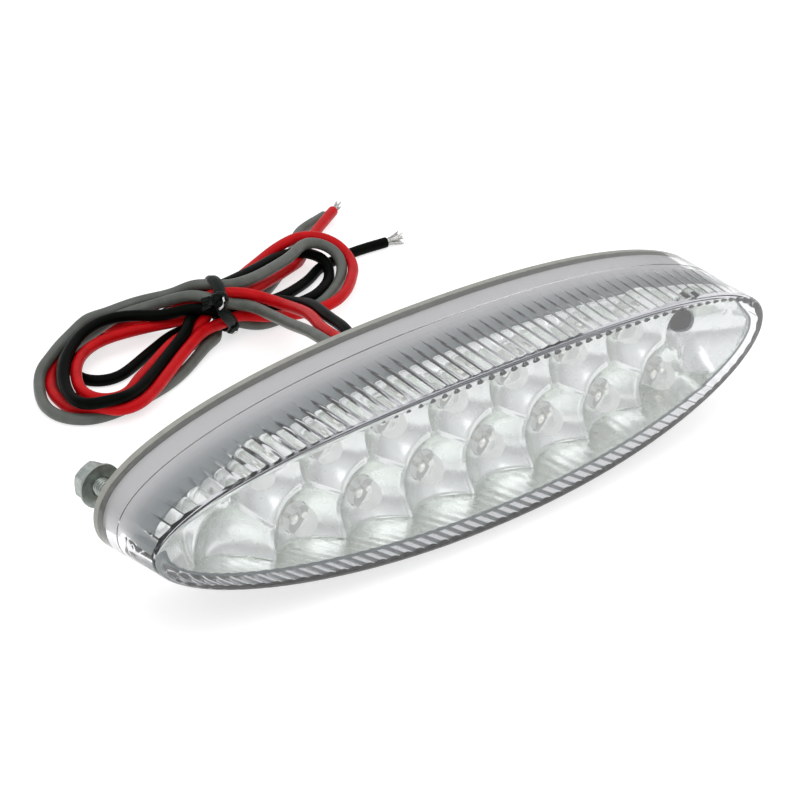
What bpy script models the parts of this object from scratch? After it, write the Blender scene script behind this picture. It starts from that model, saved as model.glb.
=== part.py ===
"""Motorcycle LED tail light: a slim oval lamp with a bowed clear lens, two mounting studs and three wires.

Frame: metres, +Z up, floor at z = 0, origin under the middle of the lamp and its fasteners. X runs along
the lamp and the lens faces -Y. The lamp stands on the lower edge of its base; its wires lie in a hank
behind it. Every size below is in millimetres and every shape is made with the mounting face at y = 0;
object_from_bmesh and tube move it to its place in the frame and turn it into metres.
"""
import math

import bmesh
import bpy
from mathutils import Matrix, Vector

MM = 0.001
SEAM = 0.1                     # gap left between two pieces that touch in the real lamp

# Lamp outline: superellipses, the base's at the back and a lower one at the front.
HALF_LENGTH = 61.0
BASE_HALF_HEIGHT = 15.8
FRONT_HALF_HEIGHT = 13.5
BASE_POWER = 2.2
FRONT_POWER = 2.07
END_DEPTH = 15.8               # mounting face to lens front, at the two ends
FRONT_CROWN = 6.0              # how much further the middle of the front stands out
OUTLINE_POINTS = 224           # two for each flute
AXIS_HEIGHT = BASE_HALF_HEIGHT

# Lens
LENS_WALL = 1.8
FLUTE_DEPTH = 0.5
FLUTE_START = 6.5              # depth at which the flutes begin behind the front
FRONT_THICKNESS = 2.5
FRONT_ROUNDING = 1.2

# Base
PLATE_THICKNESS = 1.2
LIP_HEIGHT = 1.1
LIP_THICKNESS = 1.2
LIP_CLEARANCE = 0.2
BOSS_RADIUS = 2.9
BOSS_TOP = 5.5

# Circuit board and what stands on it
BOARD_BACK = BOSS_TOP + SEAM
BOARD_THICKNESS = 1.2
BOARD_FRONT = BOARD_BACK + BOARD_THICKNESS
BOARD_END_GAP = 2.2
BOARD_SIDE_GAP = 3.0
BOARD_HALF_LENGTH = HALF_LENGTH - LENS_WALL - BOARD_END_GAP
BOARD_HALF_HEIGHT = BASE_HALF_HEIGHT - LENS_WALL - BOARD_SIDE_GAP
LED_RADIUS = 2.3
LED_FLANGE_RADIUS = 2.7
LED_FLANGE_HEIGHT = 1.5
LED_HEIGHT = 5.2
CHIP_SIZE = (3.2, 0.6, 1.6)
CHIP_HEIGHT = 4.0
DIODE_SIZE = (4.4, 2.2, 2.6)
DIODE_HEIGHT = -2.0

# Reflector
DISH_BOTTOM = 7.7              # depth of a dish's lowest point
DISH_FOCUS = 2.7               # focal length of the dishes, which are paraboloids
SHELL_THICKNESS = 0.6
LED_HOLE_RADIUS = 2.9
REFLECTOR_HALF_LENGTH = HALF_LENGTH - LENS_WALL - FLUTE_DEPTH - 0.5
REFLECTOR_HALF_HEIGHT = FRONT_HALF_HEIGHT - LENS_WALL - FLUTE_DEPTH + 0.2
REFLECTOR_FRONT_GAP = 0.4
ROW_HEIGHT = 5.0               # either row, from the line midway between the two
ROW_LEVEL = -1.3               # that line, from the lamp's centre
ROW_INSET = 19.3               # lamp's right end to the nearest LED, which is in the lower row
ROW_FAR_INSET = 29.5           # lamp's left end to the nearest LED of the lower row
ROW_STAGGER = 4.9              # upper row to lower row, sideways
LEDS_PER_ROW = 7
CELL_PITCH = (2.0 * HALF_LENGTH - ROW_INSET - ROW_FAR_INSET) / (LEDS_PER_ROW - 1)
# Dishes with no LED: end of the lamp (1 right, -1 left), distance from that end, height, open at the bottom.
EMPTY_DISHES = ((1, 14.6, 3.6, True), (1, 10.3, -3.6, False), (-1, 15.2, -4.4, False), (-1, 6.0, 0.5, False))

# Studs, washers and nuts
STUD_INSET = 6.5
STUD_X = HALF_LENGTH - STUD_INSET
STUD_RADIUS = 1.45
STUD_REACH = 11.5
STUD_ROOT = 4.3
NUT_BORE = 1.6
NUT_ACROSS_FLATS = 5.5
NUT_HEIGHT = 2.4
WASHER_RADIUS = 3.5
WASHER_THICKNESS = 0.5
WASHER_REST = 7.25             # washer's near face to the mounting face

# Cable outlet and wires
OUTLET_X = 0.0
WIRE_RADIUS = 1.0
WIRE_ORBIT = 2.0               # wires stand on this circle in the grommet
GROMMET_RADIUS = WIRE_ORBIT + WIRE_RADIUS + 1.2
GROMMET_REACH = 1.4
GROMMET_COLLAR = GROMMET_RADIUS + 1.2
GROMMET_COLLAR_THICKNESS = 1.0
LEAD_START = 4.6               # the leads begin this far inside the mounting face
STRAND_RADIUS = 0.65
STRAND_LENGTH = 4.0
CUT_OVERRUN = 2.0              # how far a cutter runs past what it cuts
WIRES = {"grey": 150.0, "red": 30.0, "black": 270.0}

# Hank of wire, flat on the floor
WAIST = Vector((8.0, 62.8, 5.8))
WAIST_RADIUS = 4.1
WAIST_LENGTH = 12.0
LOOP_TUBE = 3.2
LOOP_POINTS = 40
SECTION_POINTS = 10
# Centre, half length, half width and turn in degrees of each loop's middle line.
LOOPS = (
    ((-13.8, 60.4), 16.0, 8.6, 12.0),
    ((26.8, 67.2), 14.6, 7.2, 20.0),
)
TAIL_GAP = 0.4                 # from the hank to where a tail starts
TIE_SECTION = 0.7
TIE_RADIUS = WAIST_RADIUS + TIE_SECTION + SEAM
TIE_TAIL_RADIUS = 0.9
TIE_TAIL = 6.0

# The leads run back from the outlet: distance behind the mounting face, and height.
LEAD_ROUTE = ((10.0, 15.8), (26.0, 15.2), (42.0, 12.6), (52.0, 10.2), (59.2, 9.4))
LEAD_DRIFT = 14.0
LEAD_GATHER = 0.35             # how much nearer together the leads are at the hank
# Each tail leaves the right loop at an angle around it, in degrees, and goes through the given points.
TAILS = {
    "red": (38.0, ((40.4, 79.6, 2.8), (44.2, 82.4, 2.6), (53.3, 88.1, 2.5))),
    "grey": (62.0, ((35.0, 81.2, 2.4), (42.6, 86.4, 1.3), (50.2, 90.6, 1.3))),
    "black": (-8.0, ((46.5, 72.4, 2.4), (53.4, 72.6, 1.6))),
}


# From the mounting face at y = 0 to the middle of the lamp and its fasteners.
SHIFT_Y = 0.5 * (END_DEPTH + FRONT_CROWN - STUD_REACH)


def clear_scene():
    for existing in list(bpy.data.objects):
        bpy.data.objects.remove(existing, do_unlink=True)


def new_object(name, mesh, hidden=False):
    made = bpy.data.objects.new(name, mesh)
    bpy.context.scene.collection.objects.link(made)
    if hidden:
        made.hide_render = True
        made.display_type = "WIRE"
    return made


def object_from_bmesh(name, shape, hidden=False):
    bmesh.ops.remove_doubles(shape, verts=shape.verts, dist=0.002)
    bmesh.ops.recalc_face_normals(shape, faces=shape.faces)
    bmesh.ops.translate(shape, vec=(0.0, SHIFT_Y, 0.0), verts=shape.verts)
    bmesh.ops.scale(shape, vec=(MM, MM, MM), verts=shape.verts)
    mesh = bpy.data.meshes.new(name)
    shape.to_mesh(mesh)
    shape.free()
    return new_object(name, mesh, hidden)


def superellipse(half_length, half_height, power, count):
    """Evenly spaced points around a superellipse, mirrored in both axes, as (x, z) pairs."""
    fine = 2000
    quarter = []
    for step in range(fine + 1):
        angle = 0.5 * math.pi * step / fine
        x = half_length * math.cos(angle) ** (2.0 / power) if step < fine else 0.0
        z = half_height * math.sin(angle) ** (2.0 / power)
        quarter.append((x, z))
    lengths = [0.0]
    for before, after in zip(quarter, quarter[1:]):
        lengths.append(lengths[-1] + math.dist(before, after))
    per_quarter = count // 4
    first = []
    index = 0
    for step in range(per_quarter):
        target = lengths[-1] * step / per_quarter
        while lengths[index + 1] < target:
            index += 1
        share = (target - lengths[index]) / (lengths[index + 1] - lengths[index])
        before, after = quarter[index], quarter[index + 1]
        first.append((before[0] + share * (after[0] - before[0]),
                      before[1] + share * (after[1] - before[1])))
    top = [(0.0, half_height)]
    second = [(-x, z) for x, z in reversed(first)]
    upper = first + top + second
    lower = [(x, -z) for x, z in reversed(upper[1:-1])]
    return upper + lower


def front_depth(x):
    return END_DEPTH + FRONT_CROWN * (1.0 - (x / HALF_LENGTH) ** 2)


def lens_outline(depth_share, inset, count=OUTLINE_POINTS):
    """Outline of the lens at a share of the way from its back to its front, moved inwards by inset."""
    half_height = BASE_HALF_HEIGHT + depth_share * (FRONT_HALF_HEIGHT - BASE_HALF_HEIGHT)
    power = BASE_POWER + depth_share * (FRONT_POWER - BASE_POWER)
    return superellipse(HALF_LENGTH - inset, half_height - inset, power, count)


def wall_ring(inset, depth_of, count=OUTLINE_POINTS):
    """Points around the lens wall, moved inwards by inset, at the depth that depth_of gives for each x."""
    back = PLATE_THICKNESS + SEAM
    ring = []
    for behind, ahead in zip(lens_outline(0.0, inset, count), lens_outline(1.0, inset, count)):
        depth = depth_of(ahead[0])
        share = (depth - back) / (front_depth(ahead[0]) - FRONT_ROUNDING - back)
        share = min(max(share, 0.0), 1.0)
        x = behind[0] + share * (ahead[0] - behind[0])
        z = behind[1] + share * (ahead[1] - behind[1])
        ring.append((x, -depth, AXIS_HEIGHT + z))
    return ring


def add_ring(shape, points):
    return [shape.verts.new(point) for point in points]


def join_rings(shape, first, second):
    count = len(first)
    for index in range(count):
        after = (index + 1) % count
        shape.faces.new((first[index], first[after], second[after], second[index]))


def close_across(shape, ring):
    """Close a ring that is mirrored in z with strips that each run straight up and down."""
    count = len(ring)
    for index in range(count // 2):
        corners = [ring[index], ring[index + 1], ring[-index - 1], ring[-index]]
        kept = [corner for place, corner in enumerate(corners) if corner not in corners[:place]]
        shape.faces.new(kept)


def at_height(points, depth_of):
    return [(x, -depth_of(x), AXIS_HEIGHT + z) for x, z in points]


def lathe_y(shape, profile, centre, segments=24, outline=None):
    """Turn (radius, y) pairs about a line along Y through centre, as a closed ring of the profile."""
    rings = []
    for radius, y in profile:
        ring = []
        for step in range(segments):
            angle = 2.0 * math.pi * step / segments
            reach = radius if outline is None or radius > 0 else outline(angle)
            ring.append((centre[0] + reach * math.cos(angle), y, centre[1] + reach * math.sin(angle)))
        rings.append(add_ring(shape, ring))
    return rings


def solid_of_rings(rings, shape, hollow):
    for first, second in zip(rings, rings[1:]):
        join_rings(shape, first, second)
    if hollow:
        join_rings(shape, rings[-1], rings[0])
    else:
        shape.faces.new(rings[0])
        shape.faces.new(rings[-1])


def turned(name, profile, centre, segments=24, hollow=False, outline=None, hidden=False):
    shape = bmesh.new()
    rings = lathe_y(shape, profile, centre, segments, outline)
    solid_of_rings(rings, shape, hollow)
    return object_from_bmesh(name, shape, hidden)


def combine(target, cutter, operation):
    modifier = target.modifiers.new(operation.lower() + "_" + cutter.name, "BOOLEAN")
    modifier.operation = operation
    modifier.solver = "EXACT"
    modifier.object = cutter


def bake(target):
    """Apply the modifiers and remove the cutters that they used."""
    cutters = [modifier.object for modifier in target.modifiers]
    depsgraph = bpy.context.evaluated_depsgraph_get()
    mesh = bpy.data.meshes.new_from_object(target.evaluated_get(depsgraph))
    target.modifiers.clear()
    old = target.data
    target.data = mesh
    mesh.name = target.name
    bpy.data.meshes.remove(old)
    for cutter in cutters:
        bpy.data.objects.remove(cutter, do_unlink=True)
    return target


def build_lens():
    back = PLATE_THICKNESS + SEAM
    shape = bmesh.new()
    rings = []
    outer_back = lens_outline(0.0, 0.0)
    rings.append(add_ring(shape, at_height(outer_back, lambda x: back)))
    edge = lens_outline(1.0, 0.0)
    rings.append(add_ring(shape, at_height(edge, lambda x: front_depth(x) - FRONT_ROUNDING)))
    near = FRONT_ROUNDING * (1.0 - math.sqrt(0.5))
    rings.append(add_ring(shape, at_height(lens_outline(1.0, near), lambda x: front_depth(x) - near)))
    rings.append(add_ring(shape, at_height(lens_outline(1.0, FRONT_ROUNDING), front_depth)))
    for first, second in zip(rings, rings[1:]):
        join_rings(shape, first, second)
    close_across(shape, rings[-1])

    inner_back = add_ring(shape, wall_ring(LENS_WALL, lambda x: back))
    smooth = add_ring(shape, wall_ring(LENS_WALL, lambda x: FLUTE_START))
    join_rings(shape, rings[0], inner_back)
    join_rings(shape, inner_back, smooth)
    before = smooth
    for depth_of in (lambda x: FLUTE_START + 2.0, lambda x: front_depth(x) - FRONT_THICKNESS):
        valley = wall_ring(LENS_WALL, depth_of)
        ridge = wall_ring(LENS_WALL + FLUTE_DEPTH, depth_of)
        fluted = [valley[i] if i % 2 == 0 else ridge[i] for i in range(OUTLINE_POINTS)]
        ring = add_ring(shape, fluted)
        join_rings(shape, before, ring)
        before = ring
    close_across(shape, before)
    return object_from_bmesh("lens", shape)


def build_base():
    shape = bmesh.new()
    lip_outer = LENS_WALL + LIP_CLEARANCE
    lip_inner = lip_outer + LIP_THICKNESS
    lip_top = PLATE_THICKNESS + LIP_HEIGHT
    steps = ((0.0, 0.0), (0.0, PLATE_THICKNESS), (lip_outer, PLATE_THICKNESS), (lip_outer, lip_top),
             (lip_inner, lip_top), (lip_inner, PLATE_THICKNESS))
    rings = []
    for inset, depth in steps:
        rings.append(add_ring(shape, wall_ring(inset, lambda x, depth=depth: depth, OUTLINE_POINTS // 2)))
    for first, second in zip(rings, rings[1:]):
        join_rings(shape, first, second)
    shape.faces.new(rings[0])
    shape.faces.new(rings[-1])
    base = object_from_bmesh("base_plate", shape)
    for side, name in ((-1, "left"), (1, "right")):
        centre = (side * STUD_X, AXIS_HEIGHT)
        boss = turned("boss_" + name, ((BOSS_RADIUS, -0.5 * PLATE_THICKNESS), (BOSS_RADIUS, -BOSS_TOP)),
                      centre, hidden=True)
        combine(base, boss, "UNION")
        wall = STUD_RADIUS + SEAM
        bore = turned("stud_bore_" + name, ((wall, CUT_OVERRUN), (wall, -STUD_ROOT - SEAM)), centre,
                      hidden=True)
        combine(base, bore, "DIFFERENCE")
    wall = GROMMET_RADIUS + SEAM
    outlet = turned("outlet_bore", ((wall, CUT_OVERRUN), (wall, -PLATE_THICKNESS - CUT_OVERRUN)),
                    (OUTLET_X, AXIS_HEIGHT), segments=32, hidden=True)
    combine(base, outlet, "DIFFERENCE")
    return bake(base)


def build_board():
    shape = bmesh.new()
    outline = superellipse(BOARD_HALF_LENGTH, BOARD_HALF_HEIGHT, FRONT_POWER, OUTLINE_POINTS // 4)
    rings = [add_ring(shape, at_height(outline, lambda x: BOARD_BACK)),
             add_ring(shape, at_height(outline, lambda x: BOARD_FRONT))]
    solid_of_rings(rings, shape, hollow=False)
    return object_from_bmesh("circuit_board", shape)


def led_places():
    """Centres (x, z) of the dishes with an LED: two rows, one set over from the other."""
    places = []
    for step in range(LEDS_PER_ROW):
        x = HALF_LENGTH - ROW_INSET - CELL_PITCH * step
        places.append((x, ROW_LEVEL - ROW_HEIGHT))
        places.append((x - CELL_PITCH + ROW_STAGGER, ROW_LEVEL + ROW_HEIGHT))
    return sorted(places)


def dish_centres():
    """Each dish's centre, and whether it has a hole at its bottom."""
    empty = [((side * (HALF_LENGTH - inset), z), open_bottom) for side, inset, z, open_bottom in EMPTY_DISHES]
    return [(place, True) for place in led_places()] + empty


def reflector_depth(x, z, centre):
    away = (x - centre[0]) ** 2 + (z - centre[1]) ** 2
    deepest = front_depth(x) - FRONT_THICKNESS - REFLECTOR_FRONT_GAP - SHELL_THICKNESS
    return min(DISH_BOTTOM + away / (4.0 * DISH_FOCUS), deepest)


def clip(polygon, centre, other):
    """Keep the part of a convex polygon that is nearer to centre than to other."""
    middle = ((centre[0] + other[0]) / 2.0, (centre[1] + other[1]) / 2.0)
    normal = (other[0] - centre[0], other[1] - centre[1])

    def side(point):
        return (point[0] - middle[0]) * normal[0] + (point[1] - middle[1]) * normal[1]

    kept = []
    for index, point in enumerate(polygon):
        after = polygon[(index + 1) % len(polygon)]
        here, there = side(point), side(after)
        if here <= 0.0:
            kept.append(point)
        if (here < 0.0 < there) or (there < 0.0 < here):
            share = here / (here - there)
            kept.append((point[0] + share * (after[0] - point[0]), point[1] + share * (after[1] - point[1])))
    return kept


def subdivided(polygon, step):
    """Split the long sides of a polygon, the same way from either end."""
    points = []
    for index, point in enumerate(polygon):
        after = polygon[(index + 1) % len(polygon)]
        pieces = max(1, math.ceil(math.dist(point, after) / step - 1e-4))
        for piece in range(pieces):
            share = piece / pieces
            points.append((point[0] + share * (after[0] - point[0]), point[1] + share * (after[1] - point[1])))
    return points


def build_reflector():
    outline = superellipse(REFLECTOR_HALF_LENGTH, REFLECTOR_HALF_HEIGHT, FRONT_POWER, 72)
    dishes = dish_centres()
    shape = bmesh.new()
    for centre, has_led in dishes:
        polygon = outline
        for other, _ in dishes:
            if other != centre:
                polygon = clip(polygon, centre, other)
        border = subdivided(polygon, 3.2)
        inner_radius = LED_HOLE_RADIUS if has_led else 0.0
        rings = []
        for share in (0.0, 0.5, 1.0):
            if share == 1.0 and not has_led:
                break
            ring = []
            for x, z in border:
                reach = math.dist((x, z), centre)
                along = (inner_radius + (reach - inner_radius) * (1.0 - share)) / reach
                px = centre[0] + along * (x - centre[0])
                pz = centre[1] + along * (z - centre[1])
                ring.append((px, -reflector_depth(px, pz, centre), AXIS_HEIGHT + pz))
            rings.append(add_ring(shape, ring))
        for first, second in zip(rings, rings[1:]):
            join_rings(shape, first, second)
        if not has_led:
            middle = shape.verts.new((centre[0], -reflector_depth(*centre, centre), AXIS_HEIGHT + centre[1]))
            for index, vert in enumerate(rings[-1]):
                shape.faces.new((vert, rings[-1][(index + 1) % len(border)], middle))
    bmesh.ops.remove_doubles(shape, verts=shape.verts, dist=0.02)
    bmesh.ops.triangulate(shape, faces=shape.faces)
    bmesh.ops.recalc_face_normals(shape, faces=shape.faces)
    behind = bmesh.ops.duplicate(shape, geom=shape.verts[:] + shape.edges[:] + shape.faces[:])
    twin = {}
    for key, value in behind["vert_map"].items():
        twin[key] = value
    back_verts = [item for item in behind["geom"] if isinstance(item, bmesh.types.BMVert)]
    back_faces = [item for item in behind["geom"] if isinstance(item, bmesh.types.BMFace)]
    back_set = set(back_verts)
    bmesh.ops.reverse_faces(shape, faces=back_faces)
    for vert in back_verts:
        vert.co.y += SHELL_THICKNESS
    open_edges = [edge for edge in shape.edges if edge.is_boundary and edge.verts[0] not in back_set]
    for edge in open_edges:
        first, second = edge.verts
        shape.faces.new((first, second, twin[second], twin[first]))
    return object_from_bmesh("reflector", shape)


def build_leds():
    start = BOARD_FRONT + SEAM
    for number, (x, z) in enumerate(led_places(), start=1):
        profile = [(LED_FLANGE_RADIUS, -start), (LED_FLANGE_RADIUS, -start - LED_FLANGE_HEIGHT),
                   (LED_RADIUS, -start - LED_FLANGE_HEIGHT)]
        shoulder = LED_HEIGHT - LED_RADIUS
        for degrees in (0.0, 35.0, 65.0):
            angle = math.radians(degrees)
            profile.append((LED_RADIUS * math.cos(angle), -start - shoulder - LED_RADIUS * math.sin(angle)))
        turned("led_%02d" % number, profile, (x, AXIS_HEIGHT + z), segments=16)


def box(name, size, centre):
    shape = bmesh.new()
    bmesh.ops.create_cube(shape, size=1.0)
    bmesh.ops.scale(shape, vec=size, verts=shape.verts)
    bmesh.ops.translate(shape, vec=centre, verts=shape.verts)
    return object_from_bmesh(name, shape)


def build_chips():
    for number, cells in enumerate((-2.4, -1.6, 2.0), start=1):
        y = -(BOARD_BACK - SEAM - CHIP_SIZE[1] / 2.0)
        box("resistor_%d" % number, CHIP_SIZE, (cells * CELL_PITCH, y, AXIS_HEIGHT + CHIP_HEIGHT))
    y = -(BOARD_BACK - SEAM - DIODE_SIZE[1] / 2.0)
    box("diode_1", DIODE_SIZE, (2.7 * CELL_PITCH, y, AXIS_HEIGHT + DIODE_HEIGHT))


def hexagon_reach(angle):
    """Distance from a hexagon's centre to its side, in the direction of angle; corners point up and down."""
    turned_by = (angle - math.radians(30.0)) % math.radians(60.0) - math.radians(30.0)
    return 0.5 * NUT_ACROSS_FLATS / math.cos(turned_by)


def build_fasteners():
    chamfer = 0.25
    for side, name in ((-1, "left"), (1, "right")):
        centre = (side * STUD_X, AXIS_HEIGHT)
        tip = STUD_REACH
        turned("stud_" + name, ((STUD_RADIUS, -STUD_ROOT), (STUD_RADIUS, tip - 0.5), (STUD_RADIUS - 0.4, tip)), centre)
        near = WASHER_REST
        far = near + WASHER_THICKNESS
        washer = ((NUT_BORE, near), (WASHER_RADIUS, near), (WASHER_RADIUS, far), (NUT_BORE, far))
        turned("washer_" + name, washer, centre, segments=32, hollow=True)
        bottom = far + SEAM
        top = bottom + NUT_HEIGHT
        face = 0.5 * NUT_ACROSS_FLATS
        nut = ((NUT_BORE, bottom), (face, bottom), (-1, bottom + chamfer), (-1, top - chamfer), (face, top),
               (NUT_BORE, top))
        turned("nut_" + name, nut, centre, hollow=True, outline=hexagon_reach)


def wire_places():
    """Where each wire crosses the mounting face, as (x, z)."""
    places = {}
    for colour, degrees in WIRES.items():
        angle = math.radians(degrees)
        places[colour] = (OUTLET_X + WIRE_ORBIT * math.cos(angle), AXIS_HEIGHT + WIRE_ORBIT * math.sin(angle))
    return places


def build_grommet():
    inner = PLATE_THICKNESS + SEAM
    profile = ((GROMMET_RADIUS, GROMMET_REACH), (GROMMET_RADIUS, -inner), (GROMMET_COLLAR, -inner),
               (GROMMET_COLLAR, -inner - GROMMET_COLLAR_THICKNESS))
    grommet = turned("grommet", profile, (OUTLET_X, AXIS_HEIGHT), segments=32)
    for colour, place in wire_places().items():
        wall = WIRE_RADIUS + SEAM
        ends = (GROMMET_REACH + CUT_OVERRUN, -inner - GROMMET_COLLAR_THICKNESS - CUT_OVERRUN)
        bore = turned("wire_bore_" + colour, [(wall, end) for end in ends], place, segments=16, hidden=True)
        combine(grommet, bore, "DIFFERENCE")
    return bake(grommet)


def curve_through(points, step):
    """Even points along a smooth curve (Catmull-Rom) through the given ones."""
    ends = [2 * points[0] - points[1]] + list(points) + [2 * points[-1] - points[-2]]
    smooth = []
    for index in range(1, len(ends) - 2):
        before, here, after, last = ends[index - 1:index + 3]
        pieces = max(1, round((after - here).length / step))
        for piece in range(pieces):
            t = piece / pieces
            smooth.append(0.5 * ((2 * here) + (after - before) * t
                                 + (2 * before - 5 * here + 4 * after - last) * t ** 2
                                 + (3 * here - before - 3 * after + last) * t ** 3))
    smooth.append(points[-1])
    return smooth


def tube(name, points, radius):
    data = bpy.data.curves.new(name, "CURVE")
    data.dimensions = "3D"
    data.bevel_depth = radius * MM
    data.bevel_resolution = 2
    data.use_fill_caps = True
    data.render_resolution_u = 0
    spline = data.splines.new("POLY")
    spline.points.add(len(points) - 1)
    for place, point in zip(spline.points, points):
        place.co = (MM * point.x, MM * (point.y + SHIFT_Y), MM * point.z, 1.0)
    return new_object(name, data)


def loop_surface(loop, degrees, reach):
    """The place that stands off a loop of the hank by reach, in the given direction around it."""
    (cx, cy), long_reach, short_reach, turn = loop
    angle = math.radians(degrees)
    out = Vector((math.cos(angle) / long_reach, math.sin(angle) / short_reach, 0.0)).normalized()
    place = Vector((long_reach * math.cos(angle), short_reach * math.sin(angle), 0.0))
    place += (LOOP_TUBE + reach) * out
    return Vector((cx, cy, LOOP_TUBE + SEAM)) + Matrix.Rotation(math.radians(turn), 3, "Z") @ place


def build_wires():
    for colour, (x, z) in wire_places().items():
        offset = Vector((x - OUTLET_X, 0.0, z - AXIS_HEIGHT))
        points = [Vector((x, -LEAD_START, z))]
        for y, height in LEAD_ROUTE:
            share = y / LEAD_ROUTE[-1][0]
            middle = Vector((OUTLET_X + LEAD_DRIFT * share ** 2, y, height))
            points.append(middle + (1.0 - LEAD_GATHER * share) * offset)
        tube("lead_" + colour, curve_through(points, 4.0), WIRE_RADIUS)
        degrees, further = TAILS[colour]
        tail = [loop_surface(LOOPS[1], degrees, reach) for reach in (TAIL_GAP, TAIL_GAP + WIRE_RADIUS)]
        tail += [Vector(point) for point in further]
        tube("tail_" + colour, curve_through(tail, 3.0), WIRE_RADIUS)
        along = (tail[-1] - tail[-2]).normalized()
        start = tail[-1] + SEAM * along
        tube("strand_" + colour, [start, start + 0.5 * STRAND_LENGTH * along, start + STRAND_LENGTH * along],
             STRAND_RADIUS)


def loop_solid(name, loop, hidden):
    """Closed round bundle along an ellipse that lies flat, lifted to rest on the floor."""
    (cx, cy), long_reach, short_reach, degrees = loop
    turn = math.radians(degrees)
    shape = bmesh.new()
    rings = []
    for step in range(LOOP_POINTS):
        angle = 2.0 * math.pi * step / LOOP_POINTS
        out = Vector((math.cos(angle) / long_reach, math.sin(angle) / short_reach, 0.0)).normalized()
        place = Vector((long_reach * math.cos(angle), short_reach * math.sin(angle), 0.0))
        ring = []
        for corner in range(SECTION_POINTS):
            part = 2.0 * math.pi * corner / SECTION_POINTS
            ring.append(place + LOOP_TUBE * (math.cos(part) * out + Vector((0.0, 0.0, math.sin(part)))))
        rings.append(add_ring(shape, ring))
    for step in range(LOOP_POINTS):
        join_rings(shape, rings[step], rings[(step + 1) % LOOP_POINTS])
    move = Matrix.Translation((cx, cy, LOOP_TUBE + 0.1)) @ Matrix.Rotation(turn, 4, "Z")
    bmesh.ops.transform(shape, matrix=move, verts=shape.verts)
    return object_from_bmesh(name, shape, hidden)


def waist_axis():
    degrees = sum(loop[3] for loop in LOOPS) / len(LOOPS)
    return Matrix.Translation(WAIST) @ Matrix.Rotation(math.radians(degrees), 4, "Z")


def build_hank():
    hank = loop_solid("wire_hank", LOOPS[0], hidden=False)
    combine(hank, loop_solid("right_loop", LOOPS[1], hidden=True), "UNION")
    shape = bmesh.new()
    bmesh.ops.create_cone(shape, cap_ends=True, segments=20, radius1=WAIST_RADIUS, radius2=WAIST_RADIUS,
                          depth=WAIST_LENGTH)
    bmesh.ops.transform(shape, matrix=waist_axis() @ Matrix.Rotation(math.radians(90), 4, "Y"), verts=shape.verts)
    combine(hank, object_from_bmesh("waist", shape, hidden=True), "UNION")
    return bake(hank)


def build_tie():
    shape = bmesh.new()
    rings = []
    for step in range(LOOP_POINTS):
        angle = 2.0 * math.pi * step / LOOP_POINTS
        out = Vector((0.0, math.cos(angle), math.sin(angle)))
        ring = []
        for corner in range(SECTION_POINTS):
            part = 2.0 * math.pi * corner / SECTION_POINTS
            ring.append((TIE_RADIUS + TIE_SECTION * math.cos(part)) * out
                        + Vector((TIE_SECTION * math.sin(part), 0.0, 0.0)))
        rings.append(add_ring(shape, ring))
    for step in range(LOOP_POINTS):
        join_rings(shape, rings[step], rings[(step + 1) % LOOP_POINTS])
    bmesh.ops.transform(shape, matrix=waist_axis(), verts=shape.verts)
    tie = object_from_bmesh("twist_tie", shape)
    shape = bmesh.new()
    bmesh.ops.create_cone(shape, cap_ends=True, segments=12, radius1=TIE_TAIL_RADIUS, radius2=TIE_TAIL_RADIUS,
                          depth=TIE_TAIL)
    tilt = Matrix.Rotation(math.radians(-35), 4, "X")
    place = tilt @ Matrix.Translation((0.0, 0.0, TIE_RADIUS + 0.5 * TIE_TAIL - 0.3))
    bmesh.ops.transform(shape, matrix=waist_axis() @ place, verts=shape.verts)
    combine(tie, object_from_bmesh("tie_tail", shape, hidden=True), "UNION")
    return bake(tie)


clear_scene()
build_lens()
build_base()
build_board()
build_reflector()
build_leds()
build_chips()
build_fasteners()
build_grommet()
build_wires()
build_hank()
build_tie()
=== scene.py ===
"""Looks of the motorcycle LED tail light: camera, light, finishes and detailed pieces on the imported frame.

Sizes and places are in millimetres. z = 0 is the floor and y = 0 the mounting face: behind it y is
positive, and "depth" is the distance in front of it. to_frame turns a place into the frame's metres.
"""

import math

import bmesh
import bpy
import numpy as np
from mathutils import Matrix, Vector


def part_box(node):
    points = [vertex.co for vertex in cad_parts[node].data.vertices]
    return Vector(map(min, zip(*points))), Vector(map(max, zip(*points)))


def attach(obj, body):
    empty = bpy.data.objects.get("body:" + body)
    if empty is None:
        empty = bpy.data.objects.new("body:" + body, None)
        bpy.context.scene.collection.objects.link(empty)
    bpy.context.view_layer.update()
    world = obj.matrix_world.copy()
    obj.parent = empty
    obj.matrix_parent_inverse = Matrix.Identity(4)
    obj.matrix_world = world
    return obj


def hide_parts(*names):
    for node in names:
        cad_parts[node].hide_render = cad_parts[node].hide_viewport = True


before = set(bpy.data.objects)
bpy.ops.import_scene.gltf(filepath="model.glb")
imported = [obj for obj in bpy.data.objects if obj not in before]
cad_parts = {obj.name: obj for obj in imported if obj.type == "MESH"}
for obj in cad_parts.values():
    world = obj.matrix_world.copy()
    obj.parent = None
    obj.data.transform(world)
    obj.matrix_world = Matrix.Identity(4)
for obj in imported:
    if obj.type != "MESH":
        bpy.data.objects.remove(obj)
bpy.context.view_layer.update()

MM = 0.001
SHIFT_Y = 5.15  # the mounting face's y in the frame
SEAM = 0.1  # gap between two pieces that touch

# Lamp outline, as in the part
HALF_LENGTH = 61.0
BASE_HALF_HEIGHT = 15.8
FRONT_HALF_HEIGHT = 13.5
BASE_POWER = 2.2
FRONT_POWER = 2.07
END_DEPTH = 15.8
FRONT_CROWN = 6.0
AXIS_HEIGHT = BASE_HALF_HEIGHT
SIDES = ((-1, "left"), (1, "right"))

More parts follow.
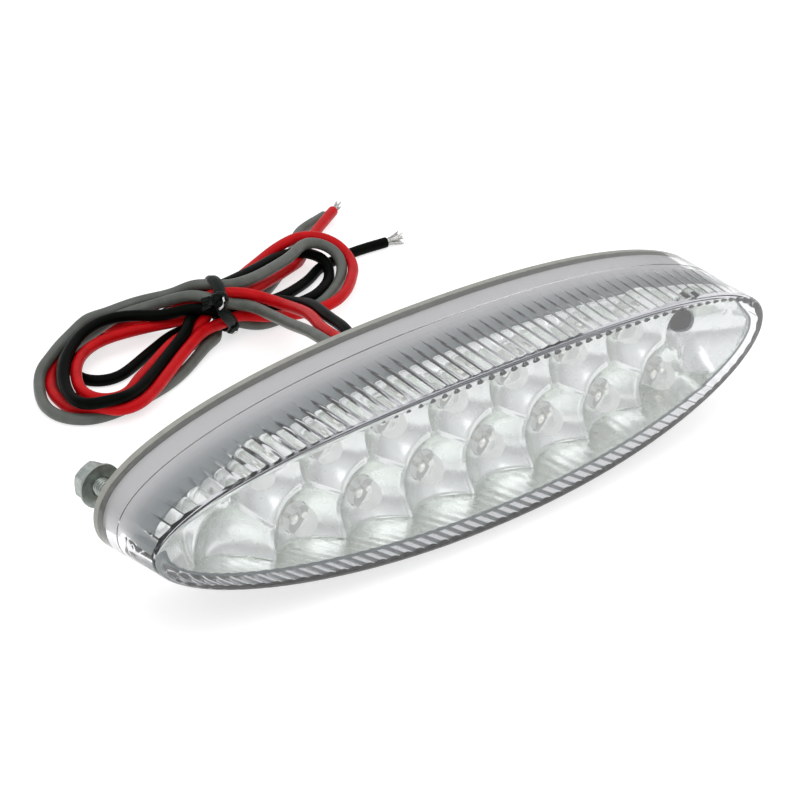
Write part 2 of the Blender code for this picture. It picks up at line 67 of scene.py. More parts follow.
# Base
PLATE_THICKNESS = 1.2
BASE_POINTS = 448  # points around its outline
EDGE_ROUNDING = 0.3
BASE_LIP_HEIGHT = 0.4
BASE_LIP_THICKNESS = 1.2
BASE_LIP_CLEARANCE = 0.7
BASE_LIP_CHAMFER = 0.2
BOSS_RADIUS = 2.9
BOSS_TOP = 5.5
BOSS_CHAMFER = 0.4
BOSS_VENT = 0.4
GROOVE_INSET = 3.0  # shallow groove around the back
GROOVE_WIDTH = 0.9
GROOVE_DEPTH = 0.35
EJECTOR_PLACES = (20.0, 38.0)  # from the middle, along the lamp
EJECTOR_HEIGHT = 6.0  # above and below the middle
EJECTOR_RADIUS = 2.0
EJECTOR_DEPTH = 0.12
CUT_OVERRUN = 2.0  # how far a hole's cutter runs past what it cuts

# Lens
LENS_BACK = PLATE_THICKNESS + SEAM
LENS_WALL = 1.8
BOND = 0.06  # how far the lens goes into the base that it is bonded to
BACK_CHAMFER = 0.12
FRONT_THICKNESS = 2.5
FRONT_ROUNDING = 0.9
FLUTES = 112
POINTS_PER_FLUTE = 10
FLUTE_DEPTH = 0.46
FLUTE_START = 5.8  # depth at which the flutes begin
FLUTE_RAMP = 7.5  # and the stretch over which they grow
FLUTE_STEPS = 14
LOWER_FLUTE_SHARE = 0.6  # flutes on the lower side are this share as deep
LOWER_THINNING = 1.05  # how much thinner the wall is at the front of the lower side
LOWER_BLEND = 3.0  # the change to the lower side reaches this far above and below the middle
WALL_LINE_DEPTH = 6.1  # fine line around the outside of the wall
WALL_LINE_SIZE = 0.12

# Board and LEDs
BOARD_THICKNESS = 1.2
BOARD_FRONT = BOSS_TOP + SEAM + BOARD_THICKNESS
LED_START = BOARD_FRONT + SEAM
LED_RADIUS = 2.3
LED_FLANGE_RADIUS = 2.7
LED_FLANGE_HEIGHT = 0.75
LED_FLANGE_ROUNDING = 0.15
LED_HEIGHT = 5.2
LED_DOME_ANGLES = (12, 24, 36, 48, 60, 72, 82)
ROW_HEIGHT = 5.0
ROW_LEVEL = -1.3
ROW_INSET = 19.3
ROW_FAR_INSET = 29.5
ROW_STAGGER = 4.9
LEDS_PER_ROW = 7
CELL_PITCH = (2.0 * HALF_LENGTH - ROW_INSET - ROW_FAR_INSET) / (LEDS_PER_ROW - 1)
CHIP_END_SHARE = 0.16  # share of a chip's length that each soldered end takes
CHIP_WAIST = 0.06  # how much smaller its body is than its ends
CHIP_ROUNDING = 0.07

# Reflector: dishes in a sheet, and a skirt around it
EMPTY_DISHES = (  # side, distance from that end, height from the middle, open bottom
    (1, 13.6, 0.6, True), (1, 10.3, -3.6, False), (-1, 15.2, -4.4, False), (-1, 6.0, 0.5, False),
)
DISH_BOTTOM = 7.7
DISH_FOCUS = 2.7
SHELL_THICKNESS = 0.6
LED_HOLE_RADIUS = 2.45
OPEN_HOLE_RADIUS = 1.9
CLOSED_MIDDLE = 0.4  # radius of the flat bottom of a dish without a hole
REFLECTOR_HALF_LENGTH = HALF_LENGTH - LENS_WALL - 1.0
REFLECTOR_HALF_HEIGHT = FRONT_HALF_HEIGHT - LENS_WALL - 0.3
REFLECTOR_FRONT_GAP = 0.4
RIM_DEPTH = 11.2  # the sheet reaches no further forward at its outer edge
RIM_RISE = 1.1  # how fast that limit rises inwards
RIM_FREE = 1.2  # how fast it is lifted below RIM_FREE_TOP, over RIM_FREE_REACH
RIM_FREE_TOP = 1.5
RIM_FREE_REACH = 3.0
END_FACET_START = (51.0, 46.0)  # left and right: beyond this the sheet slopes up to the lamp's end
END_FACET_BLEND = 3.5
END_SLOPE = 2.75
RIDGE_SHARE = 0.07  # share of a dish's reach that its flat ridge takes
DISH_RINGS = (0.0, RIDGE_SHARE, 0.09, 0.13, 0.2, 0.32, 0.44, 0.58, 0.72, 0.86, 1.0)
SKIRT_INSET = 1.9  # skirt's outside, from the lens's outside, behind the flutes
SKIRT_STEP = 0.65  # and how much further in it is beside them
SKIRT_STEP_START = 4.6
SKIRT_STEP_END = 7.0
SKIRT_THICKNESS = 0.5
SKIRT_BACK = 1.3
SKIRT_OUTER_STEPS = 14
SKIRT_INNER_STEPS = 4
SILL_BLEND = 2.0  # on the lower side the sheet's edge runs forward as a waved sill
SILL_STEPS = 5
SILL_WAVE = 2.3
SILL_WAVE_HEIGHT = 0.11
SILL_LEAST = 0.1  # height of the sill on the upper side
SKIRT_SHADE_START = 4.65  # depths between which painted shade darkens the skirt towards the front
SKIRT_SHADE_END = 13.65
# Painted shade on the skirt, by depth: pale at the back, dark at the front
SKIRT_PAINTED_SHADES = (
    (0.0, (0.73, 0.73, 0.72)), (0.12, (0.66, 0.66, 0.66)), (0.3, (0.43, 0.45, 0.45)),
    (0.5, (0.30, 0.33, 0.33)), (1.0, (0.20, 0.235, 0.235)),
)

# Fasteners
STUD_X = HALF_LENGTH - 6.5
STUD_RADIUS = 1.45
STUD_REACH = 11.5
STUD_ROOT = 4.3
STUD_POINTS = 32
THREAD_PITCH = 0.5
THREAD_DEPTH = 0.27
THREAD_ROWS = 8  # rings of points in one turn of the thread
THREAD_SLOPE = 2.7  # how fast a thread rises, from root to crest, in each turn's width
STUD_CHAMFER = 0.4
WASHER_RADIUS = 3.5
WASHER_THICKNESS = 0.5
WASHER_REST = 7.25
WASHER_ROUNDING = 0.12
NUT_BORE = 1.52
NUT_ACROSS_FLATS = 5.5
NUT_HEIGHT = 2.4
NUT_START = WASHER_REST + WASHER_THICKNESS + SEAM
NUT_POINTS = 96
COUNTERSINK = 0.25
NUT_CORNER = 1.14  # reach of its corners and of its flat faces, as shares of half its width
NUT_FACE = 0.96
NUT_CHAMFER_ANGLE = math.radians(32.0)

# Outlet and wires
OUTLET_X = 0.0
WIRE_RADIUS = 1.0
WIRE_ORBIT = 2.0  # the wires stand on this circle in the grommet
WIRE_ANGLES = {"red": 30.0, "grey": 150.0, "black": 270.0}
LEAD_START = 4.6
GROMMET_RADIUS = WIRE_ORBIT + WIRE_RADIUS + 1.2
GROMMET_REACH = 1.4
GROMMET_ROUNDING = 0.35
GROMMET_COLLAR = GROMMET_RADIUS + 1.2
GROMMET_COLLAR_THICKNESS = 1.0
COLLAR_CHAMFER = 0.15
GROMMET_CUT = 4.0  # the wires' holes are cut from this far behind the mounting face
STRAND_LENGTH = 4.0
STRAND_RADIUS = 0.19
STRAND_PARTS = 6
STRAND_TURN = 2.4  # radians around the wire from one strand to the next
STRAND_SUNK = 0.4  # how far inside the wire the strands start
STRAND_WANDER = 0.06
STRAND_FANS = {"red": (0.25, 7), "grey": (0.3, 7), "black": (1.5, 19)}  # spread and number of strands

# Hank: twelve runs of wire go through the tie in places that fill a circle (degrees, radius).
WAIST = Vector((8.0, 62.8, 5.8))
WAIST_TURN = math.radians(16.0)
OUTER_RUN = 3.06
INNER_RUN = 1.155
RUN_PLACES = {
    "a": (51.5, OUTER_RUN), "b": (94.5, OUTER_RUN), "c": (133.0, OUTER_RUN), "d": (171.5, OUTER_RUN),
    "e": (214.5, OUTER_RUN), "f": (253.0, OUTER_RUN), "g": (291.5, OUTER_RUN), "h": (334.5, OUTER_RUN),
    "i": (13.0, OUTER_RUN), "j": (73.0, INNER_RUN), "k": (193.0, INNER_RUN), "l": (313.0, INNER_RUN),
}
# Each wire: from the outlet to the tie, left loop, right loop, left loop again, and its tail. A letter is a
# place in the tie, and the points are where the wire lies (x, y behind the mounting face, height).
WIRE_ROUTES = {
    "red": (
        (1.8, 9, 16.7), (2.6, 17.5, 16.2), (3.9, 26, 15), (6.5, 33, 13.5), (9.8, 39.5, 12), (12.3, 47, 9.7),
        (13.6, 53.5, 8), (12.3, 58.8, 8), "a",
        (4.7, 64.6, 5.8), (1.3, 67, 4.5), (-2.2, 69.4, 3.6), (-6.6, 72.6, 3), (-11.7, 73.5, 2),
        (-19.7, 70.6, 2), (-23.4, 68.4, 1.5), (-26.8, 63.6, 1), (-29, 57.6, 1), (-29.2, 52.5, 1.6),
        (-28.3, 48.3, 2.8), (-25.5, 45.6, 3), (-20.5, 46.3, 3), (-15, 49.5, 3), (-7, 54.5, 4),
        (1, 58.8, 4.4), "h",
        (13, 57.7, 4), (18.5, 56.5, 3), (25.5, 55.2, 3), (30.7, 57, 3), (35.6, 60.8, 3), (40.3, 66.5, 3),
        (41.9, 71.3, 4), (41.5, 74.6, 4.8), (39.2, 76.9, 5.4), (35.7, 77.4, 5.6), (31.1, 76.6, 5.2),
        (26.5, 75.4, 4.6), (21.9, 73.6, 4.4), (15.8, 70.2, 4.8), "d",
        (0.7, 66, 4.3), (-6, 67.2, 4), (-13, 67.8, 4), (-18, 66.2, 4), (-22.3, 62.6, 4), (-25.4, 57.7, 3.5),
        (-26.7, 52.5, 3.2), (-25, 49.1, 3.2), (-20.7, 50.1, 3.1), (-15.3, 53.7, 3), (-6.4, 58.4, 3.8),
        (1.8, 61.6, 4.6), "j",
        (12.5, 63.7, 6), (17.7, 65.2, 5.4), (24.9, 69, 4), (32.5, 73, 3), (38.5, 77.7, 2.5),
        (44.2, 82.2, 2.5), (48.8, 85.2, 2.5), (53.3, 88.1, 2.5),
    ),
    "grey": (
        (-1.5, 9, 16.6), (-0.3, 17.5, 16), (1.9, 25.5, 15), (4.2, 33, 13.2), (6.5, 41, 10.8), (8.8, 48, 8.8),
        (10.2, 53.5, 7.4), (10.8, 57.8, 6.9), "i",
        (4.9, 62.7, 8.9), (1.4, 66.6, 7.6), (-2.3, 70.6, 5.8), (-8, 72.6, 4.4), (-15, 71.8, 3),
        (-21, 68.5, 2), (-25.5, 63.5, 1.2), (-27, 57.5, 1), (-25.5, 53.5, 1), (-21.5, 52, 1), (-15, 53.2, 1),
        (-8, 56.5, 1.6), (-1, 60, 2.6), (4.5, 60.8, 3), "g",
        (12.6, 59.3, 1.8), (17.8, 59.2, 1), (23.7, 59.2, 1), (29.7, 60.7, 2), (34.4, 63.2, 2),
        (38.3, 66.2, 3), (40.1, 69.8, 4.6), (37.8, 73.0, 6.2), (33.2, 71.9, 6.9), (28.9, 69, 7.2),
        (23, 66.5, 7.6), (17.5, 64.5, 8), (12.9, 63.6, 8.4), "b",
        (6, 65.5, 8), (2.6, 69.8, 7), (-1.6, 72.9, 6), (-7.6, 74.5, 5), (-14.3, 73.4, 4), (-21.1, 70, 3),
        (-27.4, 65.6, 2), (-31.3, 59.8, 1.5), (-32.2, 54.1, 1), (-30.2, 50.1, 1), (-26.4, 48.5, 1),
        (-21.4, 48.9, 1), (-13.2, 50.6, 1), (-6, 53.8, 1.5), (0.7, 57.6, 2), (4.8, 60, 2.5), "f",
        (13.5, 64.4, 2.6), (20.7, 67.8, 2), (28.8, 73.3, 1.6), (37.1, 79.8, 1), (43.6, 86.3, 1),
        (52.2, 89.3, 1),
    ),
    "black": (
        (0.5, 9, 14.4), (2.8, 17.5, 14.8), (6.8, 26.2, 15), (8.7, 31, 14), (10.4, 36.3, 13),
        (13.6, 44.2, 11), (15.8, 52.5, 7.8), (14.6, 59.6, 6), "l",
        (5, 61.2, 6.4), (2.7, 61.6, 6.2), (-2.9, 66.1, 6), (-8.3, 70.1, 6), (-14.1, 70, 6),
        (-19.7, 67.2, 5.5), (-24.6, 62.8, 5), (-27.9, 57.7, 4), (-29.9, 51.3, 4), (-29.3, 47.3, 4),
        (-26.2, 46.2, 4.6), (-21.3, 47.5, 4.4), (-12.8, 52.3, 4), (-4.4, 57.8, 4.5), (1.2, 61, 5), "k",
        (13, 61.6, 3.8), (17.9, 61.6, 3), (23.4, 60.5, 2), (27.8, 60.7, 2), (31.6, 63, 2), (35.5, 66.9, 2),
        (38.3, 71.9, 2), (37.3, 74.9, 2.8), (33.6, 75.7, 3.6), (29.4, 74.3, 4.8), (22.6, 71, 5.9),
        (16.7, 68.3, 6.9), "c",
        (3.5, 67.3, 5.5), (-1.5, 71.5, 2.6), (-7, 74.5, 1), (-12.5, 74, 1), (-18, 70.5, 1), (-21.6, 65.5, 1),
        (-22.2, 60.5, 1), (-18.5, 58.4, 1), (-12.6, 60.4, 1), (-6, 63.5, 1.3), (0, 65.5, 2),
        (4.5, 65.3, 2.8), "e",
        (12.5, 64.3, 3.4), (18.6, 62.9, 3.2), (26.5, 65.3, 2.4), (36.9, 71, 1), (45.5, 72.8, 1),
        (53.4, 72.4, 1),
    ),
}
WIRE_STEP = 1.0  # distance between the points of a wire while it settles
WIRE_GAP = 0.05  # air kept between two runs
WIRES_APART = 2.0 * WIRE_RADIUS + WIRE_GAP
HELD_RADIUS = 4.5  # the tie holds what is nearer than this to its middle
BEND_RADIUS = 6.5  # bends are opened up to about this
SETTLING_STEPS = 500
LAST_STEPS = 160  # at the end nothing but the pushing apart
PULL = 0.03  # towards where the wire was drawn
LATE_PULL = 0.008
EARLY_SHARE = 0.7  # share of the steps before the pull gets weaker
SEARCH_STEPS = 10  # near pairs are looked for again after this many steps
STIFFNESS = 0.05
OPENING = 0.22  # how hard a tight bend is opened
FALL = 0.004  # how far a wire falls in a step
FINISHED_STEP = 0.8  # distance between the points of the finished wire

# Twist tie
TIE_INNER_RADIUS = 4.1
TIE_AIR = 0.15
TIE_WIDTH = 2.2
TIE_THICKNESS = 0.8
RIB_HEIGHT = 0.5  # swelling over the wire inside the tie, as a share of its thickness
RIB_WIDTH = 0.3  # and as a share of its width
TIE_SLANT = 2.4  # how far the tie leans to the left at the front
TIE_BULGE = 2.9  # and how much further its knot has been pulled
TIE_FRONT = 20.0  # degrees around the tie where it leans most
BULGE_ANGLE = 28.0
BULGE_SPREAD = 36.0
KNOT_ANGLE = 43.0  # degrees around the tie, up from the camera's side

# Camera, floor and light
CAMERA_TARGET = Vector((-3.87, 0.0, 15.91))
CAMERA_YAW = math.radians(-40.0)
CAMERA_PITCH = math.radians(27.56)
CAMERA_DISTANCE = 420.0
CAMERA_LENS = 122.5
FLOOR_HALF = 3.0  # metres, as the light's places are
LAMP_MIDDLE = Vector((0.0, 0.0, 0.02))
SOFTBOX_PLACE = Vector((-0.2, -0.4, 1.0))
SOFTBOX_SIZE = 1.0
SOFTBOX_POWER = 3.4
SKY_STOPS = ((0.0, 0.55), (0.2, 0.64), (0.5, 0.95), (1.0, 1.05))  # brightness by height


# ---------------- objects and shapes

def to_frame(point):
    return Vector((point[0], point[1] + SHIFT_Y, point[2])) * MM


def new_object(name, data):
    made = bpy.data.objects.new(name, data)
    bpy.context.scene.collection.objects.link(made)
    return made


def new_piece(name, data, body, slot, *replaced):
    piece = new_object(name, data)
    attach(piece, body)
    if replaced:
        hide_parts(*replaced)
    return piece


def mesh_from_bmesh(name, shape, materials, sharp_angle=38.0):
    bmesh.ops.recalc_face_normals(shape, faces=shape.faces)
    bmesh.ops.translate(shape, vec=(0.0, SHIFT_Y, 0.0), verts=shape.verts)
    bmesh.ops.scale(shape, vec=(MM, MM, MM), verts=shape.verts)
    mesh = bpy.data.meshes.new(name)
    shape.to_mesh(mesh)
    shape.free()
    finish_mesh(mesh, materials, sharp_angle)
    return mesh


def add_mesh(name, shape, materials, slot, *replaced, body="lamp", sharp_angle=38.0):
    """Turn a bmesh into a mesh, and that into a piece of the same name."""
    return new_piece(name, mesh_from_bmesh(name, shape, materials, sharp_angle), body, slot, *replaced)


def finish_mesh(mesh, materials, sharp_angle=38.0):
    for material in materials:
        mesh.materials.append(material)
    mesh.polygons.foreach_set("use_smooth", [True] * len(mesh.polygons))
    mesh.set_sharp_from_angle(angle=math.radians(sharp_angle))


def cut(mesh, cutter):
    """Take the cutter's shape, another mesh, out of a mesh."""
    target = new_object("cut_target", mesh)
    tool = new_object("cut_tool", cutter)
    modifier = target.modifiers.new("cut", "BOOLEAN")
    modifier.operation = "DIFFERENCE"
    modifier.solver = "EXACT"
    modifier.object = tool
    bpy.context.view_layer.update()
    result = bpy.data.meshes.new_from_object(target.evaluated_get(bpy.context.evaluated_depsgraph_get()))
    bpy.data.objects.remove(target, do_unlink=True)
    bpy.data.objects.remove(tool, do_unlink=True)
    finish_mesh(result, [])
    return result


def add_ring(shape, points):
    return [shape.verts.new(point) for point in points]


def join_rings(shape, first, second, material=0):
    count = len(first)
    for index in range(count):
        after = (index + 1) % count
        face = shape.faces.new((first[index], first[after], second[after], second[index]))
        face.material_index = material


def skin(shape, rings, ends="capped", material=0):
    """Faces from ring to ring. The two ends are capped, left open, or joined to each other."""
    made = [add_ring(shape, ring) for ring in rings]
    following = made[1:] + (made[:1] if ends == "joined" else [])
    for first, second in zip(made, following):
        join_rings(shape, first, second, material)
    if ends == "capped":
        for ring in (made[0], made[-1]):
            shape.faces.new(ring).material_index = material
    return made


def close_across(shape, ring):
    """Close a ring that is mirrored in z with strips that each run straight up and down."""
    for index in range(len(ring) // 2):
        corners = [ring[index], ring[index + 1], ring[-index - 1], ring[-index]]
        shape.faces.new([corner for place, corner in enumerate(corners) if corner not in corners[:place]])


def around_y(centre, radius, y, segments):
    """Ring about a line along Y through centre = (x, z). Radius and y may differ from point to point."""
    angle = 2.0 * np.pi * np.arange(segments) / segments
    x, z = radius * np.cos(angle), radius * np.sin(angle)
    return np.stack((centre[0] + x, y + 0.0 * angle, centre[1] + z), 1)


def lathe(shape, profile, centre, segments=48, hollow=False, material=0):
    """Turn (radius, y) pairs about a line along Y through centre = (x, z), as a solid or a hollow ring."""
    rings = [around_y(centre, radius, y, segments) for radius, y in profile]
    skin(shape, rings, "joined" if hollow else "capped", material)


def arc(radius, start, end, steps):
    """Points (r, y) on an arc about the origin, between two angles in degrees from +r towards +y."""
    angles = [math.radians(start + (end - start) * step / steps) for step in range(steps + 1)]
    return [(radius * math.cos(angle), radius * math.sin(angle)) for angle in angles]


def rounded(radius, y, size, inwards):
    """Edge at (radius, y) of a turned profile, rounded by size; the solid lies inwards = 1 or -1 along Y."""
    into = size * inwards
    corner = [(radius - size, y), (radius - 0.3 * size, y + 0.3 * into), (radius, y + into)]
    return corner if inwards > 0 else corner[::-1]


def directions(count):
    """Cosine and sine of angles spread evenly around a circle."""
    angles = [2.0 * math.pi * step / count for step in range(count)]
    return [(math.cos(angle), math.sin(angle)) for angle in angles]


def share_of(value, start, end):
    """Where a value lies from start to end, as 0 to 1."""
    return min(max((value - start) / (end - start), 0.0), 1.0)


def ease(share):
    return share * share * (3.0 - 2.0 * share)


def along_edges(polygon, places_on):
    """Points along each edge of a polygon, at the shares of it that places_on(start, end) gives."""
    points = []
    for start, end in zip(polygon, polygon[1:] + polygon[:1]):
        for share in places_on(start, end):
            points.append((start[0] + share * (end[0] - start[0]), start[1] + share * (end[1] - start[1])))
    return points


# ---------------- curves and outlines

def superellipse(half_length, half_height, power, count):
    """Evenly spaced points around a superellipse, mirrored in both axes, as an array of (x, z)."""
    angle = np.linspace(0.0, 0.5 * np.pi, 4001)
    x = half_length * np.clip(np.cos(angle), 0.0, 1.0) ** (2.0 / power)
    x[-1] = 0.0
    z = half_height * np.sin(angle) ** (2.0 / power)
    length = np.concatenate(([0.0], np.cumsum(np.hypot(np.diff(x), np.diff(z)))))
    wanted = np.linspace(0.0, length[-1], count // 4 + 1)
    x = np.interp(wanted, length, x)
    z = np.interp(wanted, length, z)
    upper = np.concatenate((np.stack((x, z), 1), np.stack((-x[-2::-1], z[-2::-1]), 1)))
    lower = np.stack((upper[-2:0:-1, 0], -upper[-2:0:-1, 1]), 1)
    return np.concatenate((upper, lower))


def front_depth(x):
    return END_DEPTH + FRONT_CROWN * (1.0 - (x / HALF_LENGTH) ** 2)


def outline_at(share, inset):
    """Half height and power of the lens's outline at a share of the way from its back to its front."""
    half_height = BASE_HALF_HEIGHT + share * (FRONT_HALF_HEIGHT - BASE_HALF_HEIGHT) - inset
    return half_height, BASE_POWER + share * (FRONT_POWER - BASE_POWER)


def lens_outline(share, inset, count):
    half_height, power = outline_at(share, inset)
    return superellipse(HALF_LENGTH - inset, half_height, power, count)


def share_of_wall(depth, x):
    """How far forward a depth is on the lens's wall at x, as a share of the wall's length there."""
    return (depth - LENS_BACK) / (front_depth(x) - FRONT_ROUNDING - LENS_BACK)


def at_depth(outline, depth):
    return np.stack((outline[:, 0], -depth, AXIS_HEIGHT + outline[:, 1]), 1)


def wall_ring(inset, depth, count):
    """Points around the lens wall, moved inwards by inset, at a depth that may be a function of x."""
    behind = lens_outline(0.0, inset, count)
    ahead = lens_outline(1.0, inset, count)
    x = ahead[:, 0]
    depth = depth(x) if callable(depth) else np.full(len(x), depth)
    share = np.clip(share_of_wall(depth, x), 0.0, 1.0)[:, None]
    return at_depth(behind + share * (ahead - behind), depth)


def curve_through(points, step):
    """Points a step apart along a smooth curve (centripetal Catmull-Rom) through the given ones."""
    points = np.asarray(points, float)
    ends = np.concatenate(([2 * points[0] - points[1]], points, [2 * points[-1] - points[-2]]))
    fine = []
    for index in range(1, len(ends) - 2):
        corners = ends[index - 1:index + 3]
        gaps = np.maximum(np.linalg.norm(np.diff(corners, axis=0), axis=1), 1e-6) ** 0.5
        fine.append(catmull_rom(corners, np.concatenate(([0.0], np.cumsum(gaps)))))
    return evenly(np.concatenate(fine + [points[-1:]]), step)


def catmull_rom(corners, times):
    """Points between the two middle corners: neighbours are mixed over wider and wider spans of times."""
    wanted = np.linspace(times[1], times[2], 24, endpoint=False)
    level = list(corners)
    for spans in (((0, 1), (1, 2), (2, 3)), ((0, 2), (1, 3)), ((1, 2),)):
        mixed = []
        for (start, end), one, other in zip(spans, level, level[1:]):
            share = ((wanted - times[start]) / (times[end] - times[start]))[:, None]
            mixed.append(one * (1.0 - share) + other * share)
        level = mixed
    return level[0]


def evenly(points, step):
    lengths = np.concatenate(([0.0], np.cumsum(np.linalg.norm(np.diff(points, axis=0), axis=1))))
    count = max(2, int(round(lengths[-1] / step)) + 1)
    wanted = np.linspace(0.0, lengths[-1], count)
    return np.stack([np.interp(wanted, lengths, points[:, axis]) for axis in range(3)], 1)


def between(start, end, steps):
    return [start + (end - start) * step / steps for step in range(steps + 1)]


# ---------------- camera

def build_camera():
    data = bpy.data.cameras.new("camera")
    data.lens = CAMERA_LENS
    data.sensor_width = 36.0
    data.clip_start = 0.01
    data.clip_end = 20.0
    camera = new_object("camera", data)
    back = Vector((math.sin(CAMERA_YAW) * math.cos(CAMERA_PITCH),
                   -math.cos(CAMERA_YAW) * math.cos(CAMERA_PITCH), math.sin(CAMERA_PITCH)))
    camera.location = to_frame(CAMERA_TARGET + CAMERA_DISTANCE * back)
    camera.rotation_euler = back.to_track_quat("Z", "Y").to_euler()
    bpy.context.scene.camera = camera


# ---------------- materials

def set_sockets(node, values):
    """Set a node's sockets by name, with _ for a space in it; a colour is three numbers."""
    for name, value in values.items():
        socket = node.inputs[name.replace("_", " ")]
        socket.default_value = (*value, 1.0) if isinstance(value, tuple) else value


def add_node(tree, kind, **values):
    node = tree.nodes.new(kind)
    set_sockets(node, values)
    return node


def shader_of(material):
    return material.node_tree.nodes["Principled BSDF"]


def new_material(name, **values):
    """A Principled material with the given socket values."""
    material = bpy.data.materials.new(name)
    material.use_nodes = True
    set_sockets(shader_of(material), values)
    return material


def noise(tree, scale, detail):
    """Noise in space, with its scale per metre."""
    node = add_node(tree, "ShaderNodeTexNoise", Scale=scale, Detail=detail, Roughness=0.55)
    place = add_node(tree, "ShaderNodeNewGeometry")
    tree.links.new(place.outputs["Position"], node.inputs["Vector"])
    return node.outputs["Fac"]


def ramp(tree, source, stops):
    """Colour ramp over a socket. Each stop is a place and a colour, or one number for a grey."""
    node = add_node(tree, "ShaderNodeValToRGB")
    elements = node.color_ramp.elements
    while len(elements) < len(stops):
        elements.new(0.5)
    for element, (place, value) in zip(elements, stops):
        element.position = place
        element.color = (*value, 1.0) if isinstance(value, tuple) else (value, value, value, 1.0)
    tree.links.new(source, node.inputs["Fac"])
    return node.outputs["Color"]


def vary(material, socket, scale, low, high):
    """Let a socket change over the surface between two values or colours."""
    tree = material.node_tree
    shade = ramp(tree, noise(tree, scale, 3.0), ((0.3, low), (0.7, high)))
    tree.links.new(shade, shader_of(material).inputs[socket])


def add_bump(material, scale, distance, strength, detail):
    tree = material.node_tree
    bump = add_node(tree, "ShaderNodeBump", Strength=strength, Distance=distance)
    tree.links.new(noise(tree, scale, detail), bump.inputs["Height"])
    tree.links.new(bump.outputs["Normal"], shader_of(material).inputs["Normal"])


def finish(name, colour, varied, bump=None, **values):
    """Material: varied is (socket, scale, low, high) and bump is (scale, distance, strength, detail)."""
    material = new_material(name, Base_Color=colour, **values)
    vary(material, *varied)
    if bump:
        add_bump(material, *bump)
    return material


def lens_plastic():
    """Clear plastic, faintly violet and darker where the eye looks through more of it."""
    lens = finish("lens_plastic", (0.985, 0.985, 0.995), ("Roughness", 900.0, 0.0, 0.02),
                  (260.0, 0.00001, 0.25, 1.0), Transmission_Weight=1.0, IOR=1.49, Roughness=0.0)
    tree = lens.node_tree
    absorption = add_node(tree, "ShaderNodeVolumeAbsorption", Color=(0.63, 0.64, 0.67), Density=50.0)
    tree.links.new(absorption.outputs["Volume"], tree.nodes["Material Output"].inputs["Volume"])
    return lens


def skirt_painted_shade():
    """Painted shade: pale at the back and darker towards the front, for the shade between the reflector and
    the lens.
    """
    skirt = finish("reflector_skirt_painted_shade", (0.6, 0.6, 0.62), ("Roughness", 500.0, 0.35, 0.5), Roughness=0.4)
    tree = skirt.node_tree
    place = add_node(tree, "ShaderNodeNewGeometry")
    split = add_node(tree, "ShaderNodeSeparateXYZ")
    forward = add_node(tree, "ShaderNodeMapRange", From_Min=(SHIFT_Y - SKIRT_SHADE_START) * MM,
                       From_Max=(SHIFT_Y - SKIRT_SHADE_END) * MM)
    tree.links.new(place.outputs["Position"], split.inputs["Vector"])
    tree.links.new(split.outputs["Y"], forward.inputs["Value"])
    shade = ramp(tree, forward.outputs["Result"], SKIRT_PAINTED_SHADES)
    tree.links.new(shade, shader_of(skirt).inputs["Base Color"])
    return skirt


def wire_pvc(colour, gloss, dark, light):
    return finish("wire_" + colour + "_pvc", light, ("Base Color", 400.0, dark, light),
                  (2500.0, 0.00002, 0.35, 2.0), Roughness=0.4, Specular_IOR_Level=gloss)


def make_materials():
    return {
        "lens": lens_plastic(),
        "base": finish("base_plastic", (0.28, 0.28, 0.25),
                       ("Base Color", 700.0, (0.25, 0.25, 0.22), (0.31, 0.31, 0.28)),
                       (6000.0, 0.00002, 0.4, 2.0), Roughness=0.45),
        "chrome": finish("reflector_metallised", (0.82, 0.845, 0.815), ("Roughness", 350.0, 0.2, 0.32),
                         (330.0, 0.00005, 0.35, 2.0), Metallic=1.0, Roughness=0.24),
        "skirt": skirt_painted_shade(),
        # The domes' weak emission is a painted glow: the LEDs are off, and it brightens the domes where they
        # sit shaded in their dishes
        "epoxy": finish("led_epoxy", (0.97, 0.985, 0.97), ("Roughness", 800.0, 0.0, 0.015),
                        Transmission_Weight=0.85, IOR=1.35, Roughness=0.02,
                        Emission_Color=(0.97, 1.0, 0.96), Emission_Strength=0.14),
        "led_seat": finish("led_seat", (0.9, 0.9, 0.9), ("Roughness", 1500.0, 0.25, 0.45), Roughness=0.35),
        "leadframe": finish("led_leadframe", (0.8, 0.78, 0.74), ("Roughness", 1500.0, 0.18, 0.35),
                            Metallic=1.0, Roughness=0.25),
        "board": finish("board_mask", (0.03, 0.06, 0.03),
                        ("Base Color", 300.0, (0.03, 0.036, 0.015), (0.06, 0.07, 0.03)),
                        (900.0, 0.00003, 0.4, 1.0), Roughness=0.4),
        "chip": finish("chip_body", (0.03, 0.03, 0.035), ("Roughness", 2500.0, 0.4, 0.65), Roughness=0.5),
        "tin": finish("solder_tin", (0.72, 0.72, 0.72), ("Roughness", 2500.0, 0.22, 0.42),
                      Metallic=1.0, Roughness=0.3),
        "zinc": finish("zinc_plating", (0.34, 0.37, 0.35),
                       ("Base Color", 1200.0, (0.26, 0.29, 0.28), (0.42, 0.45, 0.42)),
                       (3500.0, 0.00002, 0.3, 3.0), Metallic=1.0, Roughness=0.3),
        "rubber": finish("grommet_rubber", (0.02, 0.02, 0.02), ("Roughness", 2000.0, 0.5, 0.7),
                         (5000.0, 0.00002, 0.3, 2.0), Roughness=0.6),
        "red": wire_pvc("red", 0.1, (0.40, 0.001, 0.003), (0.52, 0.003, 0.006)),
        "grey": wire_pvc("grey", 0.3, (0.078, 0.086, 0.074), (0.106, 0.114, 0.102)),
        "black": wire_pvc("black", 0.03, (0.0005, 0.001, 0.0005), (0.002, 0.003, 0.002)),
        "strand": finish("strand_tinned", (0.62, 0.61, 0.58),
                         ("Base Color", 2500.0, (0.30, 0.29, 0.27), (0.70, 0.70, 0.69)),
                         Metallic=1.0, Roughness=0.3),
        "tie": finish("tie_plastic", (0.004, 0.007, 0.005), ("Roughness", 1800.0, 0.3, 0.5),
                      (3000.0, 0.00004, 0.4, 2.0), Roughness=0.35, Specular_IOR_Level=0.09),
    }


# ---------------- wires

